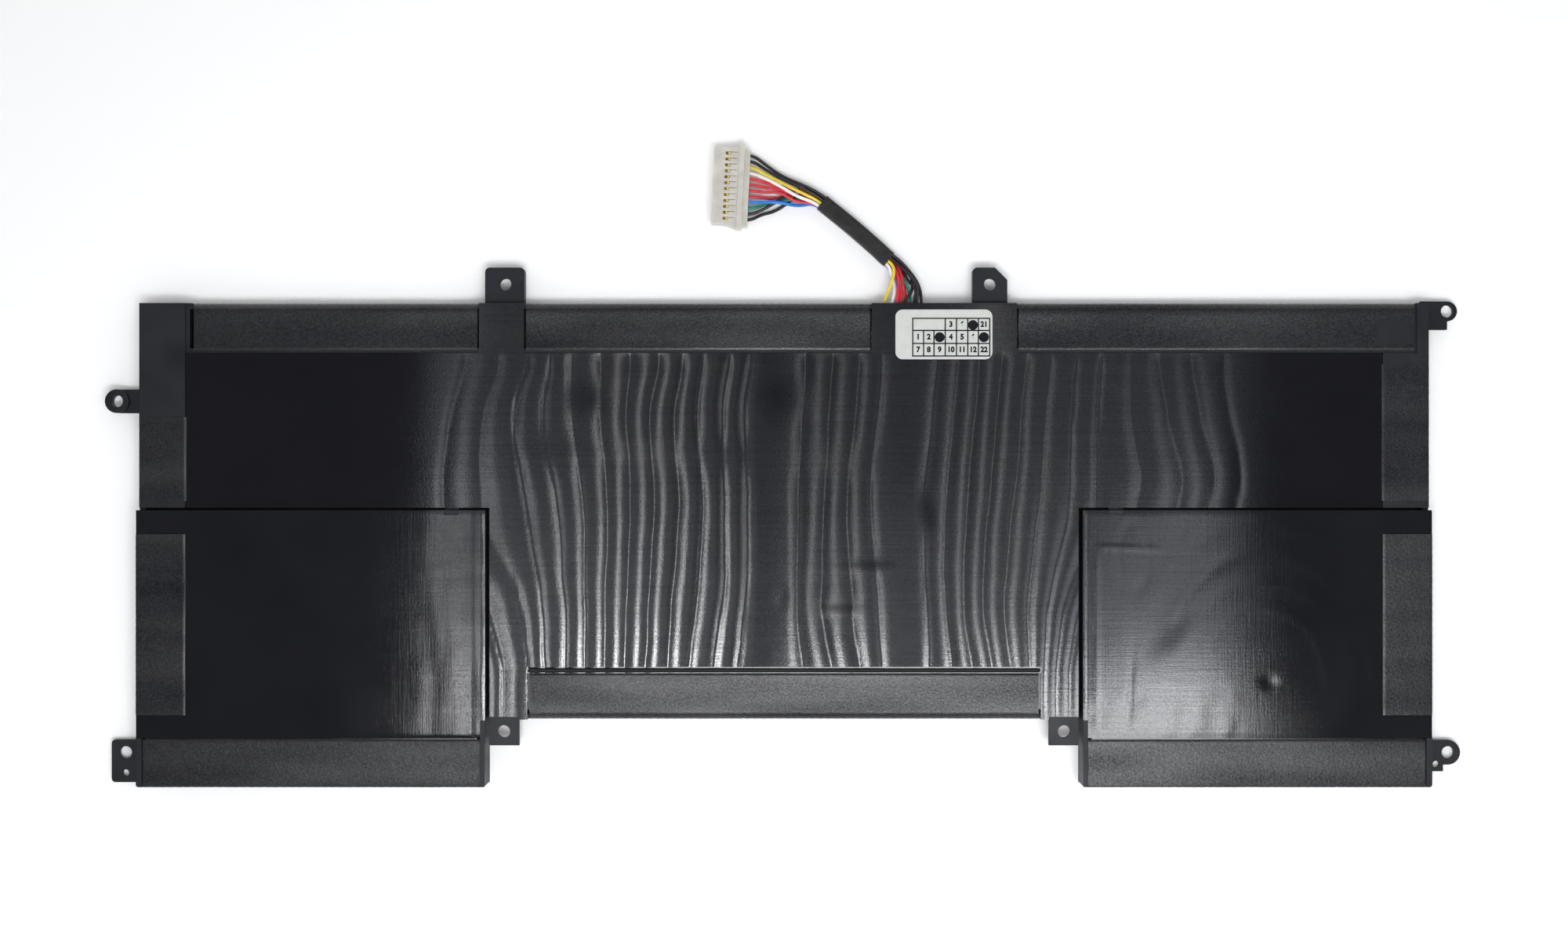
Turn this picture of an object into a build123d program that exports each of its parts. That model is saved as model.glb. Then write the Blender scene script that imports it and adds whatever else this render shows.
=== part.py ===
# Laptop battery pack: a moulded frame that holds six pouch cells, a protection board and a wired lead.
# Millimetres, +Z up, covered face upward, origin on the table under the middle of the pack without its lead.
from build123d import *
import os
from math import cos, radians, sin, tan

os.makedirs("parts", exist_ok=True)

# Overall plan of the pack
overall_length = 286.0
overall_depth = 109.0
top_lug_reach = 7.6
side_lug_reach = 7.9
band_depth = 42.9
stem_depth = 87.3
leg_overhang = 0.3
leg_inner = 62.5
groove = 0.8
cross_groove = 0.5
tape = 0.1

# Heights above the table
band_height = 4.9
leg_height = 6.0
base_film = 0.2
cover_sheet = 0.3
adhesive = 0.1
groove_floor = 1.2

# Walls and bays of the frame
outer_wall = 1.2
leg_wall = 1.0
rib = 1.0
rail = 10.5
rail_roof = 1.0
cover_gap = 0.1
cover_inset = 9.7
strip_depth = 9.5
strip_rib = 1.6
strip_rest = 1.0
ledge = 0.8
link_channel = 11.3
channel_rib = 0.8
edge_round = 1.6
leg_edge_round = 0.3
leg_corner = 0.4

# Zones of the cover that are cut away for tapes
left_zone_inset = 10.9
left_break = (-63.9, -54.5)
right_break = (18.4, 48.8)
right_zone_inset = 2.5
zone_depth = 10.5
stem_margin = 7.9
stem_zone_depth = 10.3
leg_zone_depth = 10.3
tape_inset = 0.4
tape_margin = 0.7
tape_lift = 0.3

# Side tapes of the band and of the legs
band_tape_width = 9.9
left_band_rise = (1.4, 19.0)
right_band_rise = (1.5, 30.0)
leg_tape_width = 10.4
leg_tape_end = 15.1
leg_tape_start = 5.0

# Screw lugs
lug_hole = 2.6
pin_hole = 1.4
top_lug_base = 1.4
top_lug_thick = 2.0
top_lug_corner = 1.0
top_hole_offset = 4.1
left_top_lug = (-62.9, -54.6)
left_top_hole = -58.7
right_top_lug = (39.7, 47.0)
right_top_hole = 43.4
right_top_chamfer = 2.6
side_lug_base = 1.2
side_lug_thick = 1.0
boss_height = 2.0
ring_radius = 2.5
ring_drop = 20.5
corner_ring_radius = 2.1
corner_ring_out = 4.9
corner_ring_drop = 1.5
corner_arm = 5.4
low_lug_base = 0.9
low_lug_thick = 0.7
low_hole_rise = 6.6
left_low_reach = 6.8
left_low_rise = (0.3, 9.3)
left_low_hole_out = 3.8
left_low_pin_rise = 2.3
low_lug_corner = 0.8
low_ring_radius = 2.6
low_ring_out = 5.0
low_step_out = 4.0
low_step_rise = 2.6
low_pin_out = 2.5
low_pin_rise = 4.1
tab_width_across = 6.2
tab_reach = 5.4
tab_thick = 1.0
tab_drop = 0.1
tab_hole_in = 3.0
tab_hole_reach = 2.5
lug_root = 0.6

# Cells, tabs and straps
cell_gap = 0.3
terrace = 3.6
terrace_thick = 0.4
pouch_round = 0.8
pouch_corner = 1.5
tab_width = 3.0
tab_sheet = 0.1
tab_gap = 7.0
upper_tab_x = -83.5
stem_tab_x = -23.5
strap_out = 7.85
strap_width = 1.2
strap_gap = 1.7
strap_slot = 0.4
bridge_width = 3.0
weld_length = 3.6
adhesive_inset = 4.0

# Protection board
board_length = 180.0
board_thick = 0.8
board_level = 2.2
board_gap = 0.3
chip = (5.0, 5.0, 0.9)
chip_x = -8.0
switch = (3.3, 3.3, 0.8)
switch_x = 44.0
switch_gap = 4.4
shunt = (6.4, 3.2, 0.6)
shunt_x = 56.0
fuse = (4.0, 3.0, 0.9)
fuse_x = 36.0
small_part = (1.6, 0.8, 0.7)
small_part_pitch = 2.6
small_part_count = 6
small_part_x = 3.0
sealant_back = 0.4
sealant_depth = 3.3
sealant_height = 2.1
lead_slot = (20.0, 29.8)

# Date label
label_size = (20.3, 10.4)
label_corner = 1.5
label_x = 33.5
label_drop = 6.6

# Lead and connector
wire = 0.68
wire_pitch = 0.74
arc_share = 0.45
sleeve_clearance = 0.1
sleeve_wall = 0.14
sleeve_corner = 0.4
connector_x = -15.0
connector_rise = 25.0
connector_turn = -2.8
contact_pitch = 1.25
contact_count = 12
housing_length = 16.1
housing_reach = 6.4
housing_height = 3.4
flange_length = 17.9
flange_thick = 1.1
flange_rise = 0.3
hood_length = 16.9
hood_reach = 1.2
hood_drop = 0.6
hood_slant = 1.0
gusset_reach = 3.6
tooth = 0.6
cavity = 0.95
contact_level = 1.7
contact_box = 0.75
contact_span = (0.8, 4.2)
crimp = 0.6
crimp_end = 6.5
window = (2.4, 3.5)
window_width = 0.62
lance_width = 0.5
lance_gap = 0.08
slit_reach = 1.3
slit_width = 0.14
slit_depth = 0.3
slit_offset = 0.24

# Places that follow from the sizes above
band_half = overall_length / 2 - side_lug_reach
leg_half = band_half + leg_overhang
cover_half = band_half - cover_inset
top_edge = overall_depth / 2 - top_lug_reach
band_low = top_edge - band_depth
stem_end = top_edge - stem_depth
stem_half = leg_inner - groove
leg_top = band_low - cross_groove
leg_end = tape - overall_depth / 2
ring_x = ring_radius - overall_length / 2
ring_y = top_edge - ring_drop
corner_ring_x = band_half + corner_ring_out
corner_ring_y = top_edge - corner_ring_drop
low_ring_x = leg_half + low_ring_out
low_hole_y = leg_end + low_hole_rise
left_low_edge = -leg_half - left_low_reach
left_low_y = (leg_end + left_low_rise[0], leg_end + left_low_rise[1])
left_low_hole = -leg_half - left_low_hole_out
tab_inner = stem_half - tab_width_across
tab_hole = (stem_half - tab_hole_in, stem_end - tab_hole_reach)
stem_zone_half = stem_half - stem_margin
strap_x = -stem_half - strap_out
top_zones = {
    "top_left_tape": (left_zone_inset - band_half, left_break[0]),
    "top_centre_tape": (left_break[1], right_break[0]),
    "top_right_tape": (right_break[1], band_half - right_zone_inset),
}
band_deck = band_height - cover_sheet
leg_deck = leg_height - cover_sheet
band_rest = band_deck - adhesive
leg_rest = leg_deck - adhesive
zone_edge = top_edge - zone_depth
stem_zone_edge = stem_end + stem_zone_depth
leg_zone_edge = leg_end + leg_zone_depth
strip_top = top_edge - outer_wall
strip_low = top_edge - strip_depth
bay_top = strip_low - strip_rib
rail_face = band_half - rail
rib_face = stem_half + link_channel
stem_bay = stem_half - outer_wall
leg_bay_in = leg_inner + leg_wall
leg_bay_out = leg_half - outer_wall
leg_bay_top = leg_top - leg_wall
leg_bay_end = leg_end + outer_wall
tab_level = board_level
board_low = board_level - board_thick


def span(x0, x1, y0, y1, mode=Mode.ADD):
    """Rectangle in the current sketch, given by its four edges."""
    with Locations(((x0 + x1) / 2, (y0 + y1) / 2)):
        Rectangle(x1 - x0, y1 - y0, mode=mode)


def both_sides(x0, x1, y0, y1, mode=Mode.ADD):
    """The same rectangle on the right and, mirrored, on the left."""
    span(x0, x1, y0, y1, mode)
    span(-x1, -x0, y0, y1, mode)


def corner_cut(edge, deck, size, side):
    """Sketch of what rounding takes off an outer edge; side is +1 for an edge that faces +Y."""
    with Locations((edge - side * size / 2, deck - size / 2)):
        Rectangle(size, size)
    with Locations((edge - side * size, deck - size)):
        Circle(size, mode=Mode.SUBTRACT)


def wrapped_strip(inner, edge, deck, low, bend, side):
    """Sketch of a tape that lies on a deck, turns over a rounded edge and runs down the wall."""
    with BuildLine() as outline:
        top = Line((inner, deck + tape), (edge - side * bend, deck + tape))
        outer = RadiusArc(top @ 1, (edge + side * tape, deck - bend), side * (bend + tape))
        fall = Polyline(outer @ 1, (edge + side * tape, low), (edge, low), (edge, deck - bend))
        back = RadiusArc(fall @ 1, (edge - side * bend, deck), -side * bend)
        Polyline(back @ 1, (inner, deck), top @ 0)
    make_face(outline.edges())


def soft_route(points):
    """Straight runs joined by wide arcs, y counted from the top edge; prints the radii and the length."""
    stops = [Vector(x, top_edge + y, z) for x, y, z in points]
    runs = [stops[i + 1] - stops[i] for i in range(len(stops) - 1)]
    radii = []
    for before, after in zip(runs, runs[1:]):
        half_turn = radians(before.get_angle(after)) / 2
        radii.append(arc_share * min(before.length, after.length) / tan(half_turn))
    with BuildLine() as route:
        FilletPolyline(*stops, radius=radii)
    path = route.wires()[0]
    print("radii", [round(radius, 1) for radius in radii], "length", round(path.length, 2))
    return path


# Moulded frame with rails, ribs, screw lugs and the slots that tabs, straps and wires pass through
with BuildPart() as frame:
    with BuildSketch(Plane.XY.offset(base_film)):
        span(-band_half, band_half, band_low, top_edge)
        span(-stem_half, stem_half, stem_end, top_edge)
    extrude(amount=band_deck - base_film)
    with BuildSketch(Plane.XY.offset(base_film)):
        both_sides(leg_inner, leg_half, leg_end, leg_top)
    extrude(amount=leg_deck - base_film)
    leg_corners = frame.edges().filter_by(Axis.Z).group_by(Axis.Y)[0]
    fillet(leg_corners, leg_corner)
    with BuildSketch(Plane.XY.offset(base_film)):
        both_sides(stem_half, leg_inner, stem_end, band_low)
        both_sides(stem_half, band_half, leg_top, band_low)
    extrude(amount=groove_floor - base_film)
    with BuildSketch(Plane.XY.offset(base_film)):
        both_sides(band_half - outer_wall, band_half, leg_top, band_low)
    extrude(amount=band_rest - base_film)
    with BuildSketch(Plane.XY.offset(band_deck)):
        both_sides(cover_half + cover_gap, band_half, band_low, top_edge)
    extrude(amount=cover_sheet)
    with BuildSketch(Plane.XY.offset(leg_deck)):
        both_sides(leg_inner, leg_bay_in, leg_end + leg_corner, stem_end)
        both_sides(leg_bay_out, leg_half, leg_end + leg_corner, leg_zone_edge)
    extrude(amount=cover_sheet)
    with BuildSketch(Plane.XY.offset(base_film)):
        both_sides(rib_face + channel_rib, rail_face, band_low + outer_wall, bay_top)
        both_sides(stem_half, rib_face, band_low + outer_wall, bay_top)
        both_sides(rib / 2, stem_bay, stem_end + outer_wall, bay_top)
        both_sides(leg_bay_in, leg_bay_out, leg_bay_end, leg_bay_top)
        span(-rail_face, rail_face, strip_low + ledge, strip_top - ledge)
    extrude(amount=leg_height, mode=Mode.SUBTRACT)
    with BuildSketch(Plane.XY.offset(board_low)):
        span(-rail_face, rail_face, strip_low, strip_top)
    extrude(amount=leg_height, mode=Mode.SUBTRACT)
    with BuildSketch(Plane.XY.offset(base_film)):
        both_sides(rail_face + outer_wall, band_half - outer_wall, band_low + outer_wall, strip_top)
    extrude(amount=band_rest - rail_roof - base_film, mode=Mode.SUBTRACT)
    with BuildSketch(Plane.XY.offset(band_rest)):
        for zone in top_zones.values():
            span(zone[0], zone[1], zone_edge, top_edge)
        span(-stem_zone_half, stem_zone_half, stem_end, stem_zone_edge)
    extrude(amount=leg_height, mode=Mode.SUBTRACT)
    for zone in top_zones.values():
        with BuildSketch(Plane.YZ.offset(zone[0])):
            corner_cut(top_edge, band_rest, edge_round, 1)
        extrude(amount=zone[1] - zone[0], mode=Mode.SUBTRACT)
    with BuildSketch(Plane.YZ.offset(-stem_zone_half)):
        corner_cut(stem_end, band_rest, edge_round, -1)
    extrude(amount=2 * stem_zone_half, mode=Mode.SUBTRACT)
    with BuildSketch(Plane.XY.offset(leg_rest)):
        both_sides(leg_bay_in, leg_bay_out, leg_end, leg_bay_end)
    extrude(amount=leg_height, mode=Mode.SUBTRACT)
    for start in (leg_bay_in, -leg_bay_out):
        with BuildSketch(Plane.YZ.offset(start)):
            corner_cut(leg_end, leg_rest, leg_edge_round, -1)
        extrude(amount=leg_bay_out - leg_bay_in, mode=Mode.SUBTRACT)
    with BuildSketch(Plane.XY.offset(tab_level + tab_sheet + strap_slot)):
        both_sides(-strap_x - bridge_width / 2, -strap_x + bridge_width / 2, leg_top, band_low)
    extrude(amount=band_deck - tab_level - tab_sheet - strap_slot)
    with BuildSketch(Plane.XY.offset(tab_level - strap_slot)):
        slot_half = strap_gap / 2 + strap_width / 2 + cell_gap
        both_sides(-strap_x - slot_half, -strap_x + slot_half, leg_bay_top, strip_low)
        for place in (upper_tab_x, stem_tab_x):
            tab_half = tab_gap / 2 + tab_width / 2 + cell_gap
            both_sides(-place - tab_half, -place + tab_half, bay_top, strip_low)
    extrude(amount=tab_sheet + 2 * strap_slot, mode=Mode.SUBTRACT)
    with BuildSketch(Plane.XY.offset(board_level - tab_sheet)):
        span(lead_slot[0], lead_slot[1], strip_top, top_edge)
    extrude(amount=leg_height, mode=Mode.SUBTRACT)
    with BuildSketch(Plane.XY.offset(top_lug_base)):
        span(left_top_lug[0], left_top_lug[1], top_edge - lug_root, top_edge + top_lug_reach)
        span(right_top_lug[0], right_top_lug[1], top_edge - lug_root, top_edge + top_lug_reach)
    extrude(amount=top_lug_thick)
    lug_tops = frame.edges().filter_by(Axis.Z).group_by(Axis.Y)[-1].sort_by(Axis.X)
    fillet(lug_tops[:3], top_lug_corner)
    chamfer(frame.edges().filter_by(Axis.Z).group_by(Axis.Y)[-1].sort_by(Axis.X)[-1], right_top_chamfer)
    with BuildSketch(Plane.XY.offset(side_lug_base)):
        span(ring_x, lug_root - band_half, ring_y - ring_radius, ring_y + ring_radius)
        with Locations((ring_x, ring_y)):
            Circle(ring_radius)
        span(band_half - lug_root, corner_ring_x, top_edge - corner_arm, corner_ring_y + corner_ring_radius)
        with Locations((corner_ring_x, corner_ring_y)):
            Circle(corner_ring_radius)
    extrude(amount=side_lug_thick)
    with BuildSketch(Plane.XY.offset(side_lug_base)):
        with Locations((ring_x, ring_y)):
            Circle(ring_radius)
    extrude(amount=boss_height)
    with BuildSketch(Plane.XY.offset(low_lug_base)):
        span(left_low_edge, lug_root - leg_half, left_low_y[0], left_low_y[1])
        span(leg_half - lug_root, leg_half + low_step_out, leg_end + low_step_rise, low_hole_y)
        span(leg_half - lug_root, low_ring_x, low_hole_y - low_ring_radius, low_hole_y + low_ring_radius)
        with Locations((low_ring_x, low_hole_y)):
            Circle(low_ring_radius)
    extrude(amount=low_lug_thick)
    left_corners = frame.edges().filter_by(Axis.Z).filter_by_position(
        Axis.X, left_low_edge - tape, left_low_edge + tape
    ).filter_by_position(Axis.Y, left_low_y[0] - tape, left_low_y[1] + tape)
    fillet(left_corners, low_lug_corner)
    with BuildSketch(Plane.XY.offset(band_height - tab_drop - tab_thick)):
        both_sides(tab_inner, stem_half, stem_end - tab_reach, stem_end + lug_root)
    extrude(amount=tab_thick)
    with BuildSketch(Plane.XY.offset(base_film)):
        with Locations(
            (left_top_hole, top_edge + top_hole_offset),
            (right_top_hole, top_edge + top_hole_offset),
            (ring_x, ring_y),
            (corner_ring_x, corner_ring_y),
            (left_low_hole, low_hole_y),
            (low_ring_x, low_hole_y),
            (tab_hole[0], tab_hole[1]),
            (-tab_hole[0], tab_hole[1]),
        ):
            Circle(lug_hole / 2)
        with Locations(
            (left_low_hole, leg_end + left_low_pin_rise), (leg_half + low_pin_out, leg_end + low_pin_rise)
        ):
            Circle(pin_hole / 2)
    extrude(amount=leg_height, mode=Mode.SUBTRACT)
frame.part.label = "frame"
export_step(frame.part, "parts/frame.step")

# Glossy cover sheet of the band and stem, cut away where the tapes lie
with BuildPart() as upper_cover:
    with BuildSketch(Plane.XY.offset(band_deck)):
        span(-cover_half, cover_half, band_low, zone_edge)
        span(-stem_half, stem_half, stem_zone_edge, band_low)
        both_sides(stem_zone_half, stem_half, stem_end, stem_zone_edge)
        span(left_break[0], left_break[1], zone_edge, top_edge)
        span(right_break[0], right_break[1], zone_edge, top_edge)
        both_sides(tab_inner, stem_half, stem_end, stem_end + lug_root, Mode.SUBTRACT)
    extrude(amount=cover_sheet)
upper_cover.part.label = "upper_cover"
export_step(upper_cover.part, "parts/upper_cover.step")

# Cover film of each leg, with a notch over the strap bridge
with BuildPart() as left_leg_cover:
    with BuildSketch(Plane.XY.offset(leg_deck)):
        span(-leg_half, -leg_inner, leg_zone_edge, leg_top)
        span(-leg_bay_in, -leg_inner, leg_zone_edge, stem_end, Mode.SUBTRACT)
        span(strap_x - bridge_width / 2, strap_x + bridge_width / 2, leg_bay_top, leg_top, Mode.SUBTRACT)
    extrude(amount=cover_sheet)
left_leg_cover.part.label = "left_leg_cover"
export_step(left_leg_cover.part, "parts/left_leg_cover.step")

with BuildPart() as right_leg_cover:
    mirror(left_leg_cover.part, about=Plane.YZ)
right_leg_cover.part.label = "right_leg_cover"
export_step(right_leg_cover.part, "parts/right_leg_cover.step")

# Base films on the table side
with BuildPart() as band_base:
    with BuildSketch():
        span(-band_half, band_half, band_low, top_edge)
        span(-stem_half, stem_half, stem_end, top_edge)
    extrude(amount=base_film)
band_base.part.label = "band_base"
export_step(band_base.part, "parts/band_base.step")

with BuildPart() as left_leg_base:
    with BuildSketch():
        span(-leg_half, -leg_inner, leg_end, leg_top)
    extrude(amount=base_film)
left_leg_base.part.label = "left_leg_base"
export_step(left_leg_base.part, "parts/left_leg_base.step")

with BuildPart() as right_leg_base:
    mirror(left_leg_base.part, about=Plane.YZ)
right_leg_base.part.label = "right_leg_base"
export_step(right_leg_base.part, "parts/right_leg_base.step")

# Tapes that bridge the board strip and turn over the rounded top edge
for tape_name, zone in top_zones.items():
    with BuildPart() as top_tape:
        with BuildSketch(Plane.YZ.offset(zone[0] + tape_inset)):
            wrapped_strip(zone_edge + tape_margin, top_edge, band_rest, tape_lift, edge_round, 1)
        extrude(amount=zone[1] - zone[0] - 2 * tape_inset)
    top_tape.part.label = tape_name
    export_step(top_tape.part, f"parts/{tape_name}.step")

# Tape over the end of the stem
with BuildPart() as stem_tape:
    with BuildSketch(Plane.YZ.offset(tape_inset - stem_zone_half)):
        wrapped_strip(stem_zone_edge - tape_margin, stem_end, band_rest, tape_lift, edge_round, -1)
    extrude(amount=2 * (stem_zone_half - tape_inset))
stem_tape.part.label = "stem_tape"
export_step(stem_tape.part, "parts/stem_tape.step")

# Tapes over the end of each leg, between the frame's lips
with BuildPart() as left_leg_end_tape:
    with BuildSketch(Plane.YZ.offset(cover_gap - leg_bay_out)):
        wrapped_strip(leg_zone_edge - tape_inset, leg_end, leg_rest, tape_lift, leg_edge_round, -1)
    extrude(amount=leg_bay_out - leg_bay_in - 2 * cover_gap)
left_leg_end_tape.part.label = "left_leg_end_tape"
export_step(left_leg_end_tape.part, "parts/left_leg_end_tape.step")

with BuildPart() as right_leg_end_tape:
    mirror(left_leg_end_tape.part, about=Plane.YZ)
right_leg_end_tape.part.label = "right_leg_end_tape"
export_step(right_leg_end_tape.part, "parts/right_leg_end_tape.step")

# Tapes over the sides of the band, on the frame's rails
left_band_low = band_low + left_band_rise[0]
left_band_top = band_low + left_band_rise[1]
right_band_low = band_low + right_band_rise[0]
right_band_top = band_low + right_band_rise[1]
with BuildPart() as left_band_tape:
    with BuildSketch(Plane.XY.offset(band_height)):
        span(-band_half - tape, band_tape_width - band_half - tape, left_band_low, left_band_top)
    extrude(amount=tape)
    with BuildSketch(Plane.XY.offset(tape_lift)):
        span(-band_half - tape, -band_half, left_band_low, left_band_top)
    extrude(amount=band_height - tape_lift)
left_band_tape.part.label = "left_band_tape"
export_step(left_band_tape.part, "parts/left_band_tape.step")

with BuildPart() as right_band_tape:
    with BuildSketch(Plane.XY.offset(band_height)):
        span(band_half + tape - band_tape_width, band_half + tape, right_band_low, right_band_top)
    extrude(amount=tape)
    with BuildSketch(Plane.XY.offset(tape_lift)):
        span(band_half, band_half + tape, right_band_low, right_band_top)
    extrude(amount=band_height - tape_lift)
right_band_tape.part.label = "right_band_tape"
export_step(right_band_tape.part, "parts/right_band_tape.step")

# Tapes over the outer side of each leg
leg_tape_low = leg_end + leg_tape_end
leg_tape_top = leg_top - leg_tape_start
with BuildPart() as left_leg_tape:
    with BuildSketch(Plane.XY.offset(leg_height)):
        span(-leg_half - tape, leg_tape_width - leg_half - tape, leg_tape_low, leg_tape_top)
    extrude(amount=tape)
    with BuildSketch(Plane.XY.offset(tape_lift)):
        span(-leg_half - tape, -leg_half, leg_tape_low, leg_tape_top)
    extrude(amount=leg_height - tape_lift)
left_leg_tape.part.label = "left_leg_tape"
export_step(left_leg_tape.part, "parts/left_leg_tape.step")

with BuildPart() as right_leg_tape:
    mirror(left_leg_tape.part, about=Plane.YZ)
right_leg_tape.part.label = "right_leg_tape"
export_step(right_leg_tape.part, "parts/right_leg_tape.step")

# Date label on the cover, over the place where the wires leave
with BuildPart() as date_label:
    with BuildSketch(Plane.XY.offset(band_height)):
        with Locations((label_x, top_edge - label_drop)):
            RectangleRounded(label_size[0], label_size[1], label_corner)
    extrude(amount=tape)
date_label.part.label = "date_label"
export_step(date_label.part, "parts/date_label.step")


def pouch(x0, x1, y0, y1, top):
    """Pouch cell that fills a bay, with its sealed terrace at the +Y end."""
    with BuildSketch(Plane.XY.offset(base_film)) as pouch_plan:
        with Locations(((x0 + x1) / 2, (y0 + y1 - terrace) / 2)):
            RectangleRounded(x1 - x0, y1 - y0 - terrace, pouch_corner)
    extrude(pouch_plan.sketch, amount=top - base_film)
    fillet(edges().group_by(Axis.Z)[-1] + edges().group_by(Axis.Z)[0], pouch_round)
    with BuildSketch(Plane.XY.offset(tab_level - terrace_thick)) as terrace_plan:
        span(x0 + pouch_corner, x1 - pouch_corner, y1 - terrace - pouch_corner, y1)
    extrude(terrace_plan.sketch, amount=terrace_thick)


# Pouch cells, the left three first and the right three as their mirror images
with BuildPart() as left_upper_cell:
    pouch(-rail_face + cell_gap, -rib_face - channel_rib - cell_gap, band_low + outer_wall + cell_gap,
          bay_top - cell_gap, band_rest)
left_upper_cell.part.label = "left_upper_cell"
export_step(left_upper_cell.part, "parts/left_upper_cell.step")

with BuildPart() as left_stem_cell:
    pouch(-stem_bay + cell_gap, -rib / 2 - cell_gap, stem_end + outer_wall + cell_gap,
          bay_top - cell_gap, band_rest)
left_stem_cell.part.label = "left_stem_cell"
export_step(left_stem_cell.part, "parts/left_stem_cell.step")

with BuildPart() as left_leg_cell:
    pouch(-leg_bay_out + cell_gap, -leg_bay_in - cell_gap, leg_bay_end + cell_gap,
          leg_bay_top - cell_gap, leg_rest)
left_leg_cell.part.label = "left_leg_cell"
export_step(left_leg_cell.part, "parts/left_leg_cell.step")

with BuildPart() as right_upper_cell:
    mirror(left_upper_cell.part, about=Plane.YZ)
right_upper_cell.part.label = "right_upper_cell"
export_step(right_upper_cell.part, "parts/right_upper_cell.step")

with BuildPart() as right_stem_cell:
    mirror(left_stem_cell.part, about=Plane.YZ)
right_stem_cell.part.label = "right_stem_cell"
export_step(right_stem_cell.part, "parts/right_stem_cell.step")

with BuildPart() as right_leg_cell:
    mirror(left_leg_cell.part, about=Plane.YZ)
right_leg_cell.part.label = "right_leg_cell"
export_step(right_leg_cell.part, "parts/right_leg_cell.step")

# Cell tabs: from each terrace on to the board, the positive ones on the outer side
tab_start = bay_top - cell_gap - terrace / 2
tab_end = strip_low + board_gap + weld_length
with BuildPart() as positive_tabs:
    with BuildSketch(Plane.XY.offset(tab_level)):
        for place in (upper_tab_x, stem_tab_x):
            middle = -place + tab_gap / 2
            both_sides(middle - tab_width / 2, middle + tab_width / 2, tab_start, tab_end)
    extrude(amount=tab_sheet)
positive_tabs.part.label = "positive_tabs"
export_step(positive_tabs.part, "parts/positive_tabs.step")

with BuildPart() as negative_tabs:
    with BuildSketch(Plane.XY.offset(tab_level)):
        for place in (upper_tab_x, stem_tab_x):
            middle = -place - tab_gap / 2
            both_sides(middle - tab_width / 2, middle + tab_width / 2, tab_start, tab_end)
    extrude(amount=tab_sheet)
negative_tabs.part.label = "negative_tabs"
export_step(negative_tabs.part, "parts/negative_tabs.step")

# Straps from the leg cells through the bridge and the link channel to the board
with BuildPart() as left_link_straps:
    with BuildSketch(Plane.XY.offset(tab_level)):
        for place in (strap_x - strap_gap / 2, strap_x + strap_gap / 2):
            strap_start = leg_bay_top - cell_gap - terrace / 2
            span(place - strap_width / 2, place + strap_width / 2, strap_start, tab_end)
    extrude(amount=tab_sheet)
left_link_straps.part.label = "left_link_straps"
export_step(left_link_straps.part, "parts/left_link_straps.step")

with BuildPart() as right_link_straps:
    mirror(left_link_straps.part, about=Plane.YZ)
right_link_straps.part.label = "right_link_straps"
export_step(right_link_straps.part, "parts/right_link_straps.step")

# Adhesive sheets between the cells and their covers
with BuildPart() as cell_adhesive:
    with BuildSketch(Plane.XY.offset(band_rest)):
        both_sides(rib_face + channel_rib + adhesive_inset, rail_face - adhesive_inset,
                   band_low + outer_wall + adhesive_inset, bay_top - terrace - adhesive_inset)
        both_sides(rib / 2 + adhesive_inset, stem_bay - adhesive_inset, stem_zone_edge,
                   bay_top - terrace - adhesive_inset)
    extrude(amount=adhesive)
    with BuildSketch(Plane.XY.offset(leg_rest)):
        both_sides(leg_bay_in + adhesive_inset, leg_bay_out - adhesive_inset, leg_zone_edge,
                   leg_bay_top - terrace - adhesive_inset)
    extrude(amount=adhesive)
cell_adhesive.part.label = "cell_adhesive"
export_step(cell_adhesive.part, "parts/cell_adhesive.step")

# Protection board in the strip along the top edge, on the frame's ledges
board_front = strip_low + board_gap
board_back = strip_top - board_gap
board_middle = (board_front + board_back) / 2
with BuildPart() as protection_board:
    with BuildSketch(Plane.XY.offset(board_low)):
        span(-board_length / 2, board_length / 2, board_front, board_back)
    extrude(amount=board_thick)
protection_board.part.label = "protection_board"
export_step(protection_board.part, "parts/protection_board.step")

with BuildPart() as gauge_chip:
    with Locations((chip_x, board_middle, board_level)):
        Box(*chip, align=(Align.CENTER, Align.CENTER, Align.MIN))
gauge_chip.part.label = "gauge_chip"
export_step(gauge_chip.part, "parts/gauge_chip.step")

with BuildPart() as power_switches:
    with Locations(
        (switch_x, board_middle, board_level),
        (switch_x + switch_gap, board_middle, board_level),
    ):
        Box(*switch, align=(Align.CENTER, Align.CENTER, Align.MIN))
power_switches.part.label = "power_switches"
export_step(power_switches.part, "parts/power_switches.step")

with BuildPart() as current_shunt:
    with Locations((shunt_x, board_middle, board_level)):
        Box(*shunt, align=(Align.CENTER, Align.CENTER, Align.MIN))
current_shunt.part.label = "current_shunt"
export_step(current_shunt.part, "parts/current_shunt.step")

with BuildPart() as thermal_fuse:
    with Locations((fuse_x, board_middle, board_level)):
        Box(*fuse, align=(Align.CENTER, Align.CENTER, Align.MIN))
thermal_fuse.part.label = "thermal_fuse"
export_step(thermal_fuse.part, "parts/thermal_fuse.step")

with BuildPart() as small_components:
    with BuildSketch(Plane.XY.offset(board_level)):
        with Locations((small_part_x, board_middle)):
            with GridLocations(small_part_pitch, small_part_pitch, small_part_count, 2):
                Rectangle(small_part[0], small_part[1])
    extrude(amount=small_part[2])
small_components.part.label = "small_components"
export_step(small_components.part, "parts/small_components.step")

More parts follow.
